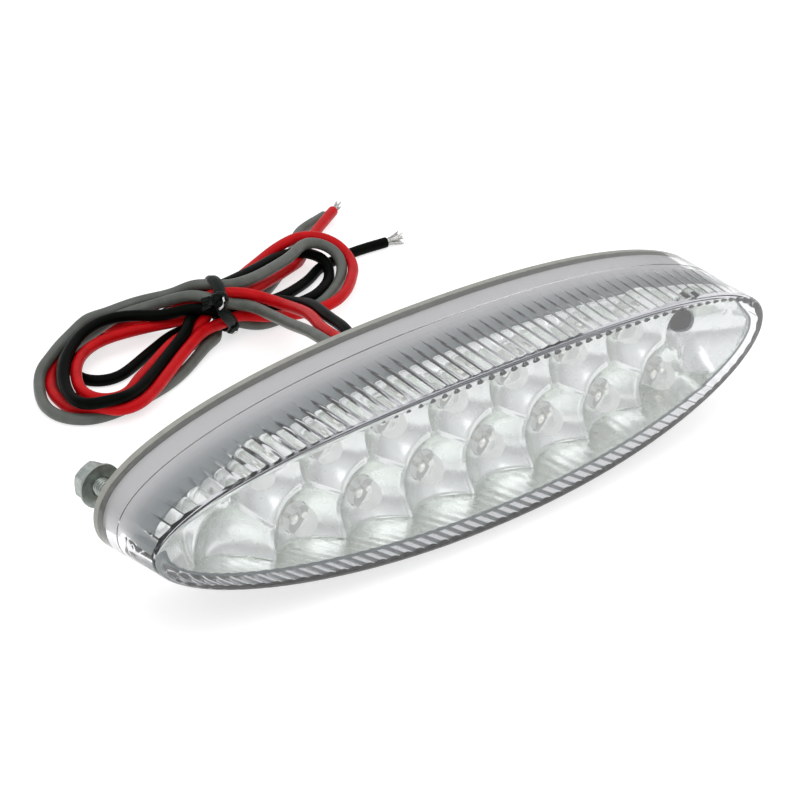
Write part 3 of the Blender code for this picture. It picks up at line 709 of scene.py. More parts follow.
def waist_frame():
    """Along the tie's line, across it on the camera's side, and up."""
    along = Vector((math.cos(WAIST_TURN), math.sin(WAIST_TURN), 0.0))
    return along, Vector((along.y, -along.x, 0.0)), Vector((0.0, 0.0, 1.0))


def run_place(letter):
    degrees, radius = RUN_PLACES[letter]
    angle = math.radians(degrees)
    _, across, up = waist_frame()
    return WAIST + radius * (math.cos(angle) * across + math.sin(angle) * up)


def wire_start(colour):
    """The wire's first points: inside the lamp, at the grommet's end and just behind it."""
    angle = math.radians(WIRE_ANGLES[colour])
    x = OUTLET_X + WIRE_ORBIT * math.cos(angle)
    z = AXIS_HEIGHT + WIRE_ORBIT * math.sin(angle)
    return [(x, y, z) for y in (-LEAD_START, GROMMET_REACH, GROMMET_REACH + 1.5)]


def draft_wire(colour):
    points = wire_start(colour)
    for step in WIRE_ROUTES[colour]:
        points.append(tuple(run_place(step)) if isinstance(step, str) else step)
    return curve_through(points, WIRE_STEP)


def settle_wires(drafts):
    """Let the wires push each other apart, rest on the floor and keep smooth, near where they were drawn."""
    counts = [len(points) for points in drafts.values()]
    starts = np.cumsum([0] + counts)
    wire = np.repeat(np.arange(len(counts)), counts)
    drawn = np.concatenate(list(drafts.values()))
    place = drawn.copy()
    from_waist = drawn - np.array(WAIST)
    in_tie = np.abs(from_waist @ np.array(waist_frame()[0])) < 0.8 * WIRE_STEP
    in_tie &= np.linalg.norm(from_waist, axis=1) < HELD_RADIUS
    fixed = drawn[:, 1] < GROMMET_REACH + 1.0
    inner = np.ones(len(place), bool)
    for start, end in zip(starts, starts[1:]):
        inner[[start, start + 1, end - 2, end - 1]] = False
    inner = np.where(inner)[0]
    for step in range(SETTLING_STEPS):
        if step % SEARCH_STEPS == 0:
            pairs = near_pairs(place, wire, WIRES_APART + 1.5)
        place += (PULL if step < EARLY_SHARE * SETTLING_STEPS else LATE_PULL) * (drawn - place)
        stiffen(place, inner)
        for _ in range(2):
            open_bends(place, inner)
        place[:, 2] -= FALL
        for _ in range(2):
            push_apart(place, pairs)
        place[in_tie] = 0.5 * (place[in_tie] + drawn[in_tie])
        place[fixed] = drawn[fixed]
    for step in range(LAST_STEPS):
        if step % SEARCH_STEPS == 0:
            pairs = near_pairs(place, wire, WIRES_APART + 0.5)
        push_apart(place, pairs)
    return {colour: place[start:end] for colour, start, end in zip(drafts, starts, starts[1:])}


def stiffen(place, inner):
    bend = (place[inner - 2] - 4 * place[inner - 1] + 6 * place[inner] - 4 * place[inner + 1]
            + place[inner + 2])
    place[inner] -= STIFFNESS * bend


def open_bends(place, inner):
    """Move the points of bends that are tighter than BEND_RADIUS towards the inside of the bend."""
    turn = place[inner - 2] - 2.0 * place[inner] + place[inner + 2]
    sharp = np.linalg.norm(turn, axis=1)
    excess = np.maximum(1.0 - (2.0 * WIRE_STEP) ** 2 / BEND_RADIUS / np.maximum(sharp, 1e-6), 0.0)
    place[inner] += OPENING * excess[:, None] * turn


def near_pairs(place, wire, distance):
    """Pairs of points that are near each other, on two wires or some way apart along one wire."""
    apart_along = int(math.ceil(0.5 * math.pi * WIRES_APART / WIRE_STEP))
    square = (place ** 2).sum(1)
    gaps = square[:, None] + square[None, :] - 2.0 * place @ place.T
    first, second = np.where(gaps < distance ** 2)
    kept = (first < second) & ((wire[first] != wire[second]) | (second - first > apart_along))
    return first[kept], second[kept]


def push_apart(place, pairs):
    """Move pairs that overlap away from each other, and keep everything above the floor."""
    first, second = pairs
    offset = place[second] - place[first]
    gap = np.maximum(np.linalg.norm(offset, axis=1), 1e-6)
    close = gap < WIRES_APART
    move = 0.25 * ((WIRES_APART - gap[close]) / gap[close])[:, None] * offset[close]
    np.add.at(place, second[close], move)
    np.add.at(place, first[close], -move)
    place[:, 2] = np.maximum(place[:, 2], WIRE_RADIUS)


def smooth(points, times):
    points = points.copy()
    for _ in range(times):
        points[1:-1] += 0.5 * (0.5 * (points[:-2] + points[2:]) - points[1:-1])
    return points


def cord_curve(name, points, material):
    data = bpy.data.curves.new(name, "CURVE")
    data.dimensions = "3D"
    data.bevel_depth = WIRE_RADIUS * MM
    data.bevel_resolution = 6
    data.use_fill_caps = True
    data.render_resolution_u = 0
    spline = data.splines.new("POLY")
    spline.points.add(len(points) - 1)
    spline.use_smooth = True
    for target, point in zip(spline.points, points):
        target.co = (*to_frame(point), 1.0)
    data.materials.append(material)
    return data


def strand_shape(end, along, spread, count):
    """Bare strands that fan out from a wire's end, as thin tubes."""
    along = Vector(along).normalized()
    side = along.cross(Vector((0.0, 0.0, 1.0))).normalized()
    up = side.cross(along)
    shape = bmesh.new()
    for number in range(count):
        angle = STRAND_TURN * number
        out = 0.62 * WIRE_RADIUS * math.sqrt((number + 0.5) / count)
        radial = math.cos(angle) * side + math.sin(angle) * up
        reach = STRAND_LENGTH * (0.9 + 0.1 * math.cos(1.7 * number))
        rings = []
        for part in range(STRAND_PARTS + 1):
            share = part / STRAND_PARTS
            centre = Vector(end) + (share * reach - STRAND_SUNK) * along
            centre += out * (0.9 + spread * share ** 2.5) * radial
            centre += STRAND_WANDER * math.sin(5.0 * share + number) * side
            centre.z = max(centre.z, STRAND_RADIUS + 0.1)
            thick = STRAND_RADIUS * (1.0 if part < STRAND_PARTS else 0.7)
            rings.append([centre + thick * (cosine * side + sine * up) for cosine, sine in directions(6)])
        skin(shape, rings)
    return shape


def build_wires(materials):
    settled = settle_wires({colour: draft_wire(colour) for colour in WIRE_ROUTES})
    for colour, points in settled.items():
        points = evenly(smooth(points, 3), FINISHED_STEP)
        replaced = ["lead_" + colour, "tail_" + colour] + (["wire_hank"] if colour == "red" else [])
        curve = cord_curve("wire_" + colour, points, materials[colour])
        wire = new_piece("wire_" + colour, curve, "lamp", "wire_" + colour, *replaced)
        strands = strand_shape(points[-1], points[-1] - points[-4], *STRAND_FANS[colour])
        bare = add_mesh("strands_" + colour, strands, [materials["strand"]], "tinned", "strand_" + colour,
                        sharp_angle=60.0)


# ---------------- lens

def fluted_ring(share, count):
    """Ring on the lens's inner wall, at a share of the way from the flutes' start to the lens's front."""
    def depth(x):
        return FLUTE_START + share * (front_depth(x) - FRONT_THICKNESS - FLUTE_START)

    valley = wall_ring(LENS_WALL, depth, count)
    ridge = wall_ring(LENS_WALL + FLUTE_DEPTH, depth, count)
    across = np.abs(np.sin(np.pi * np.arange(count) / POINTS_PER_FLUTE))
    grown = np.clip((-valley[:, 1] - FLUTE_START) / FLUTE_RAMP, 0.0, 1.0)
    grown = grown ** 2 * (3.0 - 2.0 * grown) ** 1.2
    lower = np.clip((AXIS_HEIGHT + LOWER_BLEND - valley[:, 2]) / (2.0 * LOWER_BLEND), 0.0, 1.0)
    thinner = wall_ring(LENS_WALL - LOWER_THINNING, depth, count) - valley
    moved = thinner * (lower * grown)[:, None]
    valley, ridge = valley + moved, ridge + moved
    grown = grown * (1.0 - (1.0 - LOWER_FLUTE_SHARE) * lower)
    return valley + (ridge - valley) * (across * grown)[:, None]


def build_lens(materials):
    """A tub: its outside from the back to the front, and its fluted inside from the back to the front."""
    count = FLUTES * POINTS_PER_FLUTE
    back = PLATE_THICKNESS - BOND
    rings = [wall_ring(BACK_CHAMFER, back, count), wall_ring(0.0, back + BACK_CHAMFER, count)]
    for offset, inset in ((-1.0, 0.0), (-0.5, WALL_LINE_SIZE), (0.5, WALL_LINE_SIZE), (1.0, 0.0)):
        rings.append(wall_ring(inset, WALL_LINE_DEPTH + offset * WALL_LINE_SIZE, count))
    for r, y in arc(FRONT_ROUNDING, 0.0, 90.0, 7):
        outline = lens_outline(1.0, FRONT_ROUNDING - r, count)
        rings.append(at_depth(outline, front_depth(outline[:, 0]) + (y - FRONT_ROUNDING)))
    shape = bmesh.new()
    outer = skin(shape, rings, "open")
    close_across(shape, outer[-1])
    before = add_ring(shape, wall_ring(LENS_WALL, back, count))
    join_rings(shape, outer[0], before)
    for step in range(FLUTE_STEPS + 1):
        ring = add_ring(shape, fluted_ring(step / FLUTE_STEPS, count))
        join_rings(shape, before, ring)
        before = ring
    close_across(shape, before)
    add_mesh("lens_clear", shape, [materials["lens"]], "clear_lens", "lens", sharp_angle=42.0)


# ---------------- base

def hole(shape, centre, radius, behind, depth, segments=32):
    """Round cutter, from a place behind the mounting face to a depth in front of it."""
    lathe(shape, ((radius, behind), (radius, -depth)), centre, segments)


def base_cutter():
    """Everything that is taken out of the base: its holes, the ejectors' marks and the groove."""
    tool = bmesh.new()
    through = PLATE_THICKNESS + CUT_OVERRUN
    hole(tool, (OUTLET_X, AXIS_HEIGHT), GROMMET_RADIUS + SEAM, CUT_OVERRUN, through, 48)
    for side in (-1, 1):
        hole(tool, (side * STUD_X, AXIS_HEIGHT), STUD_RADIUS + SEAM, CUT_OVERRUN, through)
        for x in EJECTOR_PLACES:
            for height in (EJECTOR_HEIGHT, -EJECTOR_HEIGHT):
                hole(tool, (side * x, AXIS_HEIGHT + height), EJECTOR_RADIUS, 1.0, EJECTOR_DEPTH)
    inner = GROOVE_INSET + GROOVE_WIDTH
    groove = ((GROOVE_INSET, -1.0), (GROOVE_INSET, GROOVE_DEPTH), (inner, GROOVE_DEPTH), (inner, -1.0))
    skin(tool, [wall_ring(inset, depth, BASE_POINTS) for inset, depth in groove], "joined")
    return mesh_from_bmesh("base_cutter", tool, [])


def build_base(materials):
    outer = LENS_WALL + BASE_LIP_CLEARANCE
    inner = outer + BASE_LIP_THICKNESS
    top = PLATE_THICKNESS + BASE_LIP_HEIGHT
    edge, chamfer = EDGE_ROUNDING, BASE_LIP_CHAMFER
    profile = [(edge - r, edge - y) for r, y in arc(edge, 90.0, 0.0, 4)]
    profile += [(0.3 * edge, PLATE_THICKNESS - 0.05), (0.5 * edge, PLATE_THICKNESS), (outer, PLATE_THICKNESS)]
    profile += [(outer, top - chamfer), (outer + chamfer, top), (inner - chamfer, top)]
    profile += [(inner, top - chamfer), (inner, PLATE_THICKNESS)]
    shape = bmesh.new()
    skin(shape, [wall_ring(inset, depth, BASE_POINTS) for inset, depth in profile])
    mesh = mesh_from_bmesh("base_moulding", shape, [materials["base"]])
    new_piece("base_moulding", cut(mesh, base_cutter()), "lamp", "base", "base_plate")
    for side, name in SIDES:
        add_mesh("boss_" + name, boss_shape(side), [materials["base"]], "base")


def boss_shape(side):
    """Boss around a stud's inner end, closed in front but for a small vent."""
    wall = STUD_RADIUS + SEAM
    top = -BOSS_TOP + 0.05
    floor = -STUD_ROOT - 0.15
    profile = [(wall, -PLATE_THICKNESS), (BOSS_RADIUS, -PLATE_THICKNESS - 0.02)]
    profile += [(BOSS_RADIUS, top + BOSS_CHAMFER), (BOSS_RADIUS - BOSS_CHAMFER, top)]
    profile += [(BOSS_VENT, top), (BOSS_VENT, floor), (wall, floor)]
    shape = bmesh.new()
    lathe(shape, profile, (side * STUD_X, AXIS_HEIGHT), 40, hollow=True)
    return shape


# ---------------- reflector

def led_places():
    places = []
    for step in range(LEDS_PER_ROW):
        x = HALF_LENGTH - ROW_INSET - CELL_PITCH * step
        places.append((x, ROW_LEVEL - ROW_HEIGHT))
        places.append((x - CELL_PITCH + ROW_STAGGER, ROW_LEVEL + ROW_HEIGHT))
    return sorted(places)


def dish_centres():
    """Each dish's centre, and the radius of the hole at its bottom, or 0 if it is closed."""
    empty = [((side * (HALF_LENGTH - inset), z), OPEN_HOLE_RADIUS if open_bottom else 0.0)
             for side, inset, z, open_bottom in EMPTY_DISHES]
    return [(place, LED_HOLE_RADIUS) for place in led_places()] + empty


def share_of_outline(x, z):
    """How far out (x, z) is: 0 in the middle of the reflector and 1 on its outline."""
    sides = abs(x / REFLECTOR_HALF_LENGTH) ** FRONT_POWER + abs(z / REFLECTOR_HALF_HEIGHT) ** FRONT_POWER
    return sides ** (1.0 / FRONT_POWER)


def reflector_depth(x, z, away):
    """Depth of the sheet at (x, z), at a distance away from the middle of its dish."""
    deepest = front_depth(x) - FRONT_THICKNESS - REFLECTOR_FRONT_GAP - SHELL_THICKNESS
    inwards = REFLECTOR_HALF_HEIGHT * (1.0 - share_of_outline(x, z))
    at_rim = RIM_DEPTH + RIM_RISE * inwards + RIM_FREE * min(max(RIM_FREE_TOP - z, 0.0), RIM_FREE_REACH)
    dish = min(DISH_BOTTOM + away ** 2 / (4.0 * DISH_FOCUS), deepest)
    facet = deepest - END_SLOPE * inwards
    facet_start = END_FACET_START[int(x > 0.0)]
    near_end = ease(share_of(abs(x), facet_start, facet_start + END_FACET_BLEND))
    return min(dish + near_end * (facet - dish), at_rim)


def clip(polygon, centre, other):
    """Keep the part of a convex polygon that is nearer to centre than to other."""
    def beyond(point):
        return sum((p - 0.5 * (a + b)) * (b - a) for p, a, b in zip(point, centre, other))

    def kept(start, end):
        here, there = beyond(start), beyond(end)
        shares = [0.0] if here <= 0.0 else []
        if here * there < 0.0:
            shares.append(here / (here - there))
        return shares

    return along_edges(polygon, kept)


def subdivided(polygon, step):
    def evenly_spaced(start, end):
        pieces = max(1, math.ceil(math.dist(start, end) / step - 1e-4))
        return [piece / pieces for piece in range(pieces)]

    return along_edges(polygon, evenly_spaced)


def dish_rings(centre, bottom_radius, border):
    """Rings of points from a dish's border, over its flat ridge and down to its bottom."""
    rings = []
    for share in DISH_RINGS:
        ring = []
        for x, z in border:
            reach = math.dist((x, z), centre)
            away = bottom_radius + (reach - bottom_radius) * (1.0 - share)
            px = centre[0] + away / reach * (x - centre[0])
            pz = centre[1] + away / reach * (z - centre[1])
            depth = reflector_depth(px, pz, min(away, (1.0 - RIDGE_SHARE) * reach))
            ring.append((px, -depth, AXIS_HEIGHT + pz))
        rings.append(ring)
    return rings


def build_reflector(materials):
    """Each dish takes the part of the outline that is nearest to it, and the dishes are welded together."""
    points = superellipse(REFLECTOR_HALF_LENGTH, REFLECTOR_HALF_HEIGHT, FRONT_POWER, 288)
    outline = [tuple(point) for point in points]
    dishes = dish_centres()
    shape = bmesh.new()
    for centre, hole_radius in dishes:
        border = outline
        for other, _ in dishes:
            if other != centre:
                border = clip(border, centre, other)
        rings = dish_rings(centre, hole_radius or CLOSED_MIDDLE, subdivided(border, 0.5))
        made = skin(shape, rings, "open")
        if not hole_radius:
            shape.faces.new(made[-1])
    bmesh.ops.remove_doubles(shape, verts=shape.verts, dist=0.02)
    bmesh.ops.recalc_face_normals(shape, faces=shape.faces)
    if sum(face.normal.y for face in shape.faces) > 0.0:
        bmesh.ops.reverse_faces(shape, faces=shape.faces)
    add_skirt(shape)
    add_mesh("reflector_chrome", shape, [materials["chrome"], materials["skirt"]], "reflector", "reflector",
             sharp_angle=60.0)


def add_skirt(shape):
    """Give the reflector's sheet a back, and carry its outer edge to the lamp's rear as a thin skirt."""
    behind = bmesh.ops.duplicate(shape, geom=shape.verts[:] + shape.edges[:] + shape.faces[:])
    twin = {key: value for key, value in behind["vert_map"].items() if isinstance(key, bmesh.types.BMVert)}
    back_verts = {item for item in behind["geom"] if isinstance(item, bmesh.types.BMVert)}
    back_faces = [item for item in behind["geom"] if isinstance(item, bmesh.types.BMFace)]
    bmesh.ops.reverse_faces(shape, faces=back_faces)
    for face in back_faces:
        face.material_index = 1
    for vert in back_verts:
        vert.co.y += SHELL_THICKNESS
    open_edges = [tuple(edge.verts) for edge in shape.edges
                  if edge.is_boundary and edge.verts[0] not in back_verts]
    columns = {}
    for first, second in open_edges:
        if not (on_outline(first.co) and on_outline(second.co)):
            shape.faces.new((first, second, twin[second], twin[first])).material_index = 1
            continue
        for vert in (first, second):
            if vert not in columns:
                columns[vert] = skirt_column(shape, vert, twin[vert])
        one, other = columns[first], columns[second]
        for step in range(len(one) - 1):
            corners = (one[step], other[step], other[step + 1], one[step + 1])
            shape.faces.new(corners).material_index = 0 if step < SILL_STEPS else 1


def on_outline(point):
    return abs(1.0 - share_of_outline(point.x, point.z - AXIS_HEIGHT)) < 0.05


def on_skirt(point, inset, depth):
    """The point of the skirt in the same direction from the lamp's middle, at a depth."""
    inset += SKIRT_STEP * ease(share_of(depth, SKIRT_STEP_START, SKIRT_STEP_END))
    half_height, power = outline_at(share_of_wall(depth, point.x), inset)
    x, z = point.x, point.z - AXIS_HEIGHT
    reach = ((abs(x) / (HALF_LENGTH - inset)) ** power + (abs(z) / half_height) ** power) ** (-1.0 / power)
    return (reach * x, -depth, AXIS_HEIGHT + reach * z)


def skirt_column(shape, front, back):
    """One line of points from the sheet's front edge over the sill and the skirt to its back edge."""
    z = front.co.z - AXIS_HEIGHT
    rim = -front.co.y
    room = front_depth(front.co.x) - FRONT_THICKNESS - REFLECTOR_FRONT_GAP
    low = share_of(-z, -SILL_BLEND, SILL_BLEND)
    tip = rim + SILL_LEAST + ease(low) * max(room - rim - SILL_LEAST, 0.0)
    wave = 0.5 + 0.5 * math.cos(2.0 * math.pi * (abs(front.co.x) + z) / SILL_WAVE)
    inner = SKIRT_INSET + SKIRT_THICKNESS
    last = rim - SILL_LEAST - SHELL_THICKNESS
    column = [(inner + SILL_WAVE_HEIGHT * wave * low, depth) for depth in between(rim, tip, SILL_STEPS)[1:]]
    column += [(SKIRT_INSET, depth) for depth in between(tip, SKIRT_BACK, SKIRT_OUTER_STEPS)]
    column += [(inner, depth) for depth in between(SKIRT_BACK, last, SKIRT_INNER_STEPS)]
    return [front] + [shape.verts.new(on_skirt(front.co, *step)) for step in column] + [back]


# ---------------- LEDs and chips

def build_leds(materials):
    start = -LED_START
    flange = start - LED_FLANGE_HEIGHT
    shoulder = start - (LED_HEIGHT - LED_RADIUS)
    rounding = LED_FLANGE_ROUNDING
    profile = [(LED_FLANGE_RADIUS, start), (LED_FLANGE_RADIUS, flange + rounding),
               (LED_FLANGE_RADIUS - rounding, flange), (LED_RADIUS + 0.1, flange), (LED_RADIUS, flange - 0.1),
               (LED_RADIUS, shoulder)]
    for degrees in LED_DOME_ANGLES:
        angle = math.radians(degrees)
        profile.append((LED_RADIUS * math.cos(angle), shoulder - LED_RADIUS * math.sin(angle)))
    frames = bmesh.new()
    for number, (x, z) in enumerate(led_places(), start=1):
        shape = bmesh.new()
        centre = (x, AXIS_HEIGHT + z)
        lathe(shape, profile, centre, 40)
        name = "led_%02d" % number
        add_mesh(name + "_dome", shape, [materials["epoxy"]], "led", name)
        add_leadframe(frames, centre, start)
    add_mesh("led_leadframes", frames, [materials["leadframe"], materials["led_seat"]], "led")


def add_leadframe(shape, centre, start):
    """Inside one LED: the cup with the chip, the pale disc under it, and the post beside it."""
    x, z = centre
    cup = ((0.25, 0.2), (0.25, 1.6), (0.55, 1.9), (0.55, 2.2), (0.45, 2.2), (0.2, 2.0))
    disc = ((LED_FLANGE_RADIUS - 0.25, 0.05), (LED_FLANGE_RADIUS - 0.25, 0.16))
    post = ((0.18, 0.2), (0.18, 1.8), (0.3, 2.0), (0.3, 2.2), (0.2, 2.3))
    for part, middle, segments, material in ((cup, (x - 0.45, z), 20, 0), (disc, centre, 32, 1),
                                             (post, (x + 0.85, z), 12, 0)):
        profile = [(radius, start - ahead) for radius, ahead in part]
        lathe(shape, profile, middle, segments, material=material)


def build_chips(materials):
    """Chips and a diode on the board's back, each with rounded edges and soldered ends."""
    for name in ("resistor_1", "resistor_2", "resistor_3", "diode_1"):
        low, high = [corner / MM - Vector((0.0, SHIFT_Y, 0.0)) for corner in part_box(name)]
        end = CHIP_END_SHARE * (high.x - low.x)
        shape = bmesh.new()
        for left, right, shrink, material in ((low.x, low.x + end, 0.0, 1),
                                              (low.x + end, high.x - end, CHIP_WAIST, 0),
                                              (high.x - end, high.x, 0.0, 1)):
            add_block(shape, (left, low.y + shrink, low.z + shrink),
                      (right, high.y - shrink, high.z - shrink), material)
        add_mesh(name + "_body", shape, [materials["chip"], materials["tin"]], "chip", name)


def add_block(shape, low, high, material):
    made = bmesh.ops.create_cube(shape, size=1.0)
    bmesh.ops.scale(shape, vec=[b - a for a, b in zip(low, high)], verts=made["verts"])
    bmesh.ops.translate(shape, vec=[0.5 * (a + b) for a, b in zip(low, high)], verts=made["verts"])
    edges = list({edge for vert in made["verts"] for edge in vert.link_edges})
    result = bmesh.ops.bevel(shape, geom=edges, offset=CHIP_ROUNDING, segments=2, affect="EDGES", profile=0.5)
    for vert in result["verts"]:
        for face in vert.link_faces:
            face.material_index = material


# ---------------- studs, washers, nuts and grommet

def build_fasteners(materials):
    zinc = [materials["zinc"]]
    for side, name in SIDES:
        centre = (side * STUD_X, AXIS_HEIGHT)
        washer, nut = "washer_" + name, "nut_" + name
        add_mesh("threaded_stud_" + name, stud_shape(centre), zinc, "zinc", "stud_" + name, sharp_angle=50.0)
        add_mesh("flat_" + washer, washer_shape(centre), zinc, "zinc", washer, body=washer)
        add_mesh("hex_" + nut, nut_shape(centre), zinc, "zinc", nut, body=nut, sharp_angle=25.0)


def washer_shape(centre):
    near, far = WASHER_REST, WASHER_REST + WASHER_THICKNESS
    bore = NUT_BORE + 0.05
    profile = [(bore, near)] + rounded(WASHER_RADIUS, near, WASHER_ROUNDING, 1)
    profile += rounded(WASHER_RADIUS, far, WASHER_ROUNDING, -1) + [(bore + 0.1, far), (bore, far - 0.1)]
    shape = bmesh.new()
    lathe(shape, profile, centre, 64, hollow=True)
    return shape


def stud_shape(centre):
    """Rod with a helical thread: the rings' radius follows the helix, and gets less at the chamfered end."""
    root = STUD_RADIUS - THREAD_DEPTH
    rows = int((STUD_REACH + STUD_ROOT) / THREAD_PITCH * THREAD_ROWS)
    turn = np.arange(STUD_POINTS) / STUD_POINTS
    rings = []
    for row in range(rows + 1):
        y = -STUD_ROOT + (STUD_REACH + STUD_ROOT) * row / rows
        phase = (y / THREAD_PITCH - turn) % 1.0
        crest = np.clip(THREAD_SLOPE * (0.5 - np.abs(phase - 0.5)), 0.0, 1.0)
        at_end = root - 0.15 + 0.45 * min(1.0, (STUD_REACH - y) / STUD_CHAMFER)
        rings.append(around_y(centre, np.minimum(root + THREAD_DEPTH * crest, at_end), y, STUD_POINTS))
    shape = bmesh.new()
    skin(shape, rings)
    return shape


def nut_shape(centre):
    """Hexagon nut with corners pointing up and down, chamfered on both faces, and a countersunk bore."""
    half = 0.5 * NUT_ACROSS_FLATS
    near, far = NUT_START, NUT_START + NUT_HEIGHT
    angle = 2.0 * math.pi * np.arange(NUT_POINTS) / NUT_POINTS
    turned = (angle - math.radians(30.0)) % math.radians(60.0) - math.radians(30.0)
    reach = np.minimum(half / np.cos(turned), NUT_CORNER * half)
    drop = (reach - NUT_FACE * half) * math.tan(NUT_CHAMFER_ANGLE)
    rings = ((NUT_BORE, near + COUNTERSINK), (NUT_BORE + COUNTERSINK, near), (NUT_FACE * half, near),
             (reach, near + drop), (reach, far - drop), (NUT_FACE * half, far),
             (NUT_BORE + COUNTERSINK, far), (NUT_BORE, far - COUNTERSINK))
    shape = bmesh.new()
    skin(shape, [around_y(centre, radius, y, NUT_POINTS) for radius, y in rings], "joined")
    return shape


def build_grommet(materials):
    inner = -PLATE_THICKNESS - SEAM
    end = inner - GROMMET_COLLAR_THICKNESS
    profile = rounded(GROMMET_RADIUS, GROMMET_REACH, GROMMET_ROUNDING, -1)[::-1]
    profile += [(GROMMET_RADIUS, inner), (GROMMET_COLLAR - COLLAR_CHAMFER, inner)]
    profile += [(GROMMET_COLLAR, inner - COLLAR_CHAMFER), (GROMMET_COLLAR, end + COLLAR_CHAMFER)]
    profile += [(GROMMET_COLLAR - COLLAR_CHAMFER, end)]
    shape = bmesh.new()
    lathe(shape, profile, (OUTLET_X, AXIS_HEIGHT), 64)
    mesh = mesh_from_bmesh("grommet_rubber", shape, [materials["rubber"]])
    tool = bmesh.new()
    for colour in WIRE_ANGLES:
        x, _, z = wire_start(colour)[0]
        hole(tool, (x, z), WIRE_RADIUS + 0.05, GROMMET_CUT, GROMMET_CUT + 1.0)
    mesh = cut(mesh, mesh_from_bmesh("grommet_cutter", tool, []))
    new_piece("grommet_rubber", mesh, "lamp", "grommet", "grommet")


# ---------------- twist tie

def ribbon(shape, path, sides, half_width, half_thickness, material=0):
    """Tube with an oval section along a path; sides gives the direction of the section's width."""
    rings = []
    for index, centre in enumerate(path):
        along = (path[min(index + 1, len(path) - 1)] - path[max(index - 1, 0)]).normalized()
        wide = (sides[index] - sides[index].dot(along) * along).normalized()
        thin = along.cross(wide)
        ring = []
        for cosine, sine in directions(12):
            swelling = 1.0 + RIB_HEIGHT * math.exp(-((cosine / RIB_WIDTH) ** 2))
            ring.append(centre + half_width * cosine * wide + half_thickness * swelling * sine * thin)
        rings.append(ring)
    skin(shape, rings, material=material)


def around_hank(degrees, out=0.0, beside=0.0):
    """A place on the tie's slanted ring, moved outwards and along the hank."""
    along, across, up = waist_frame()
    angle = math.radians(degrees)
    beside -= TIE_SLANT * math.cos(angle - math.radians(TIE_FRONT))
    from_bulge = (degrees + 180.0) % 360.0 - 180.0 - BULGE_ANGLE
    beside -= TIE_BULGE * math.exp(-(from_bulge / BULGE_SPREAD) ** 2)
    radius = TIE_INNER_RADIUS + 0.5 * TIE_THICKNESS + TIE_AIR
    return WAIST + (radius + out) * (math.cos(angle) * across + math.sin(angle) * up) + beside * along


def add_tie_ring(shape):
    """The tie around the hank, slightly uneven."""
    along = waist_frame()[0]
    path = []
    for step in range(97):
        degrees = KNOT_ANGLE + 360.0 * step / 96
        path.append(around_hank(degrees, 0.12 * math.sin(math.radians(3.0 * degrees))))
    ribbon(shape, path, [along] * len(path), 0.5 * TIE_WIDTH, 0.5 * TIE_THICKNESS)


def add_tie_fold(shape):
    """A fold in the ring, low on the camera's side, with a glint of the tie's wire."""
    along = waist_frame()[0]
    fold = [around_hank(degrees, 0.25 + 0.35 * math.sin(math.radians(swell)), 0.1)
            for degrees, swell in ((-68.0, 0.0), (-60.0, 60.0), (-52.0, 90.0), (-44.0, 90.0), (-36.0, 60.0),
                                   (-28.0, 0.0))]
    ribbon(shape, fold, [along] * len(fold), 0.9, 0.4)
    glint = [around_hank(degrees, 0.98, -0.2) for degrees in (-56.0, -50.0, -44.0, -38.0)]
    ribbon(shape, glint, [along] * len(glint), 0.22, 0.15, 1)


def add_tie_twist(shape, root, axis, along):
    """The two ends of the tie, twisted around each other where they leave the ring."""
    first = axis.cross(along).normalized()
    second = axis.cross(first)
    for end in (0, 1):
        points = []
        for step in range(13):
            turn = math.pi * end + math.radians(400.0) * step / 12
            points.append(root + (2.1 * step / 12 - 0.4) * axis
                          + 0.75 * (math.cos(turn) * first + math.sin(turn) * second))
        path = [Vector(point) for point in curve_through(points, 0.15)]
        sides = [second + 0.4 * math.sin(0.2 * index) * first for index in range(len(path))]
        ribbon(shape, path, sides, 0.75, 0.55)


def add_tie_tag(shape, root, axis):
    """The flat end that points to the left, its torn tip, and the bent steel wire that shows on it."""
    along, across, up = waist_frame()
    tag = []
    for share in (0.0, 0.15, 0.3, 0.45, 0.6, 0.75, 0.88, 1.0):
        wave = 0.25 * math.sin(9.0 * share) * across
        tag.append(root + share * (-3.8 * along + 0.5 * up) + 0.9 * axis + 0.5 * up + wave)
    sides = [up + 0.3 * across + 0.5 * math.sin(2.1 * index) * along for index in range(len(tag))]
    ribbon(shape, tag, sides, 1.15, 0.28)
    for number, (rise, reach) in enumerate(((0.75, 0.9), (0.1, 0.5), (-0.7, 0.8))):
        torn = [tag[-2] + rise * up, tag[-1] + rise * 1.15 * up - reach * along,
                tag[-1] + rise * 1.3 * up - (reach + 0.5) * along]
        ribbon(shape, torn, [up] * 3, 0.42 - 0.06 * number, 0.22)
    front = root + 1.1 * axis - 1.5 * along + 0.25 * up
    glint = [front + 1.05 * (math.cos(math.radians(turn)) * along + math.sin(math.radians(turn)) * up)
             + 1.15 * across for turn in (40.0, 15.0, -10.0, -35.0, -60.0, -85.0, -110.0)]
    ribbon(shape, glint, [across] * len(glint), 0.17, 0.17, 1)


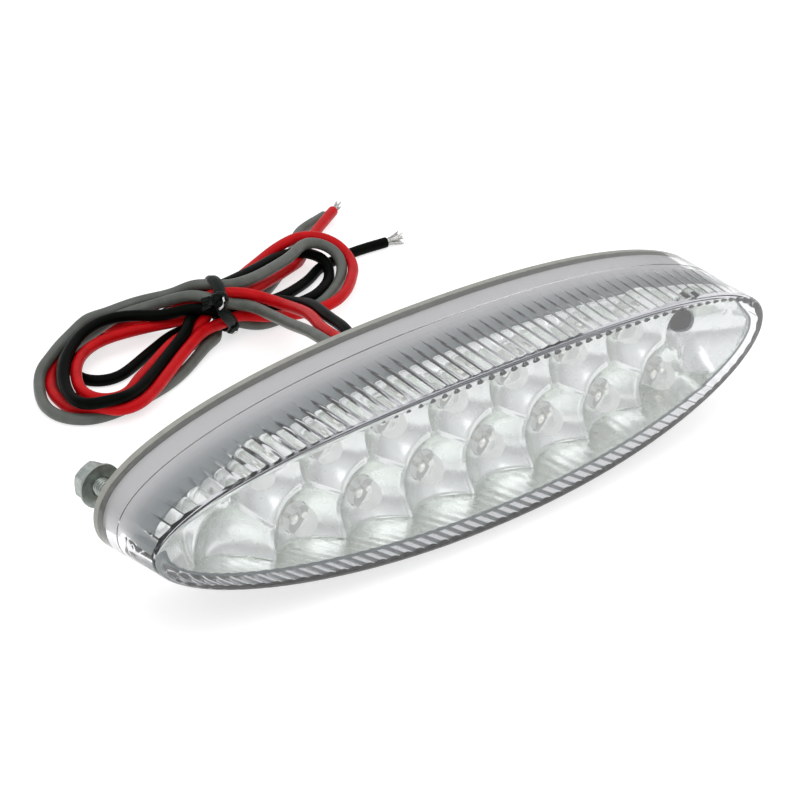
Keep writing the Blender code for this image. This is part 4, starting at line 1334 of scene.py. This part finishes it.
def build_tie(materials):
    along, across, up = waist_frame()
    shape = bmesh.new()
    add_tie_ring(shape)
    root = around_hank(KNOT_ANGLE, 0.3)
    axis = (-0.62 * along + 0.55 * across + 0.52 * up).normalized()
    add_tie_twist(shape, root, axis, along)
    add_tie_tag(shape, root, axis)
    add_tie_fold(shape)
    add_mesh("twist_tie_ribbon", shape, [materials["tie"], materials["tin"]], "tie", "twist_tie",
             sharp_angle=50.0)


# ---------------- floor and light

def build_floor():
    mesh = bpy.data.meshes.new("floor")
    corners = [(x * FLOOR_HALF, y * FLOOR_HALF, 0.0) for x, y in ((-1, -1), (1, -1), (1, 1), (-1, 1))]
    mesh.from_pydata(corners, [], [(0, 1, 2, 3)])
    paper = new_material("floor_paper", Base_Color=(0.5, 0.5, 0.5), Roughness=0.8,
                         Emission_Color=(1.0, 1.0, 1.0), Emission_Strength=0.66)
    mesh.materials.append(paper)
    floor = new_object("floor", mesh)


def build_world():
    """A bright ceiling over a greyer horizon, as a soft studio has."""
    world = bpy.data.worlds.new("studio")
    world.use_nodes = True
    bpy.context.scene.world = world
    tree = world.node_tree
    place = add_node(tree, "ShaderNodeTexCoord")
    split = add_node(tree, "ShaderNodeSeparateXYZ")
    tree.links.new(place.outputs["Generated"], split.inputs["Vector"])
    stops = [(height, (value, value, value * 1.01)) for height, value in SKY_STOPS]
    shade = ramp(tree, split.outputs["Z"], stops)
    background = tree.nodes["Background"]
    tree.links.new(shade, background.inputs["Color"])
    background.inputs["Strength"].default_value = 1.0


def build_light():
    data = bpy.data.lights.new("key", "AREA")
    data.shape = "RECTANGLE"
    data.size = data.size_y = SOFTBOX_SIZE
    data.energy = SOFTBOX_POWER
    light = new_object("key", data)
    light.location = SOFTBOX_PLACE
    light.rotation_euler = (SOFTBOX_PLACE - LAMP_MIDDLE).to_track_quat("Z", "Y").to_euler()
    scene = bpy.context.scene
    scene.view_settings.view_transform = "Standard"
    scene.cycles.max_bounces = 24
    scene.cycles.transmission_bounces = 20
    scene.cycles.glossy_bounces = 12


build_camera()
materials = make_materials()
build_wires(materials)
build_lens(materials)
build_base(materials)
build_reflector(materials)
build_leds(materials)
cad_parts["circuit_board"].data.materials.clear()
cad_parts["circuit_board"].data.materials.append(materials["board"])
build_chips(materials)
build_fasteners(materials)
build_grommet(materials)
build_tie(materials)
build_floor()
build_world()
build_light()
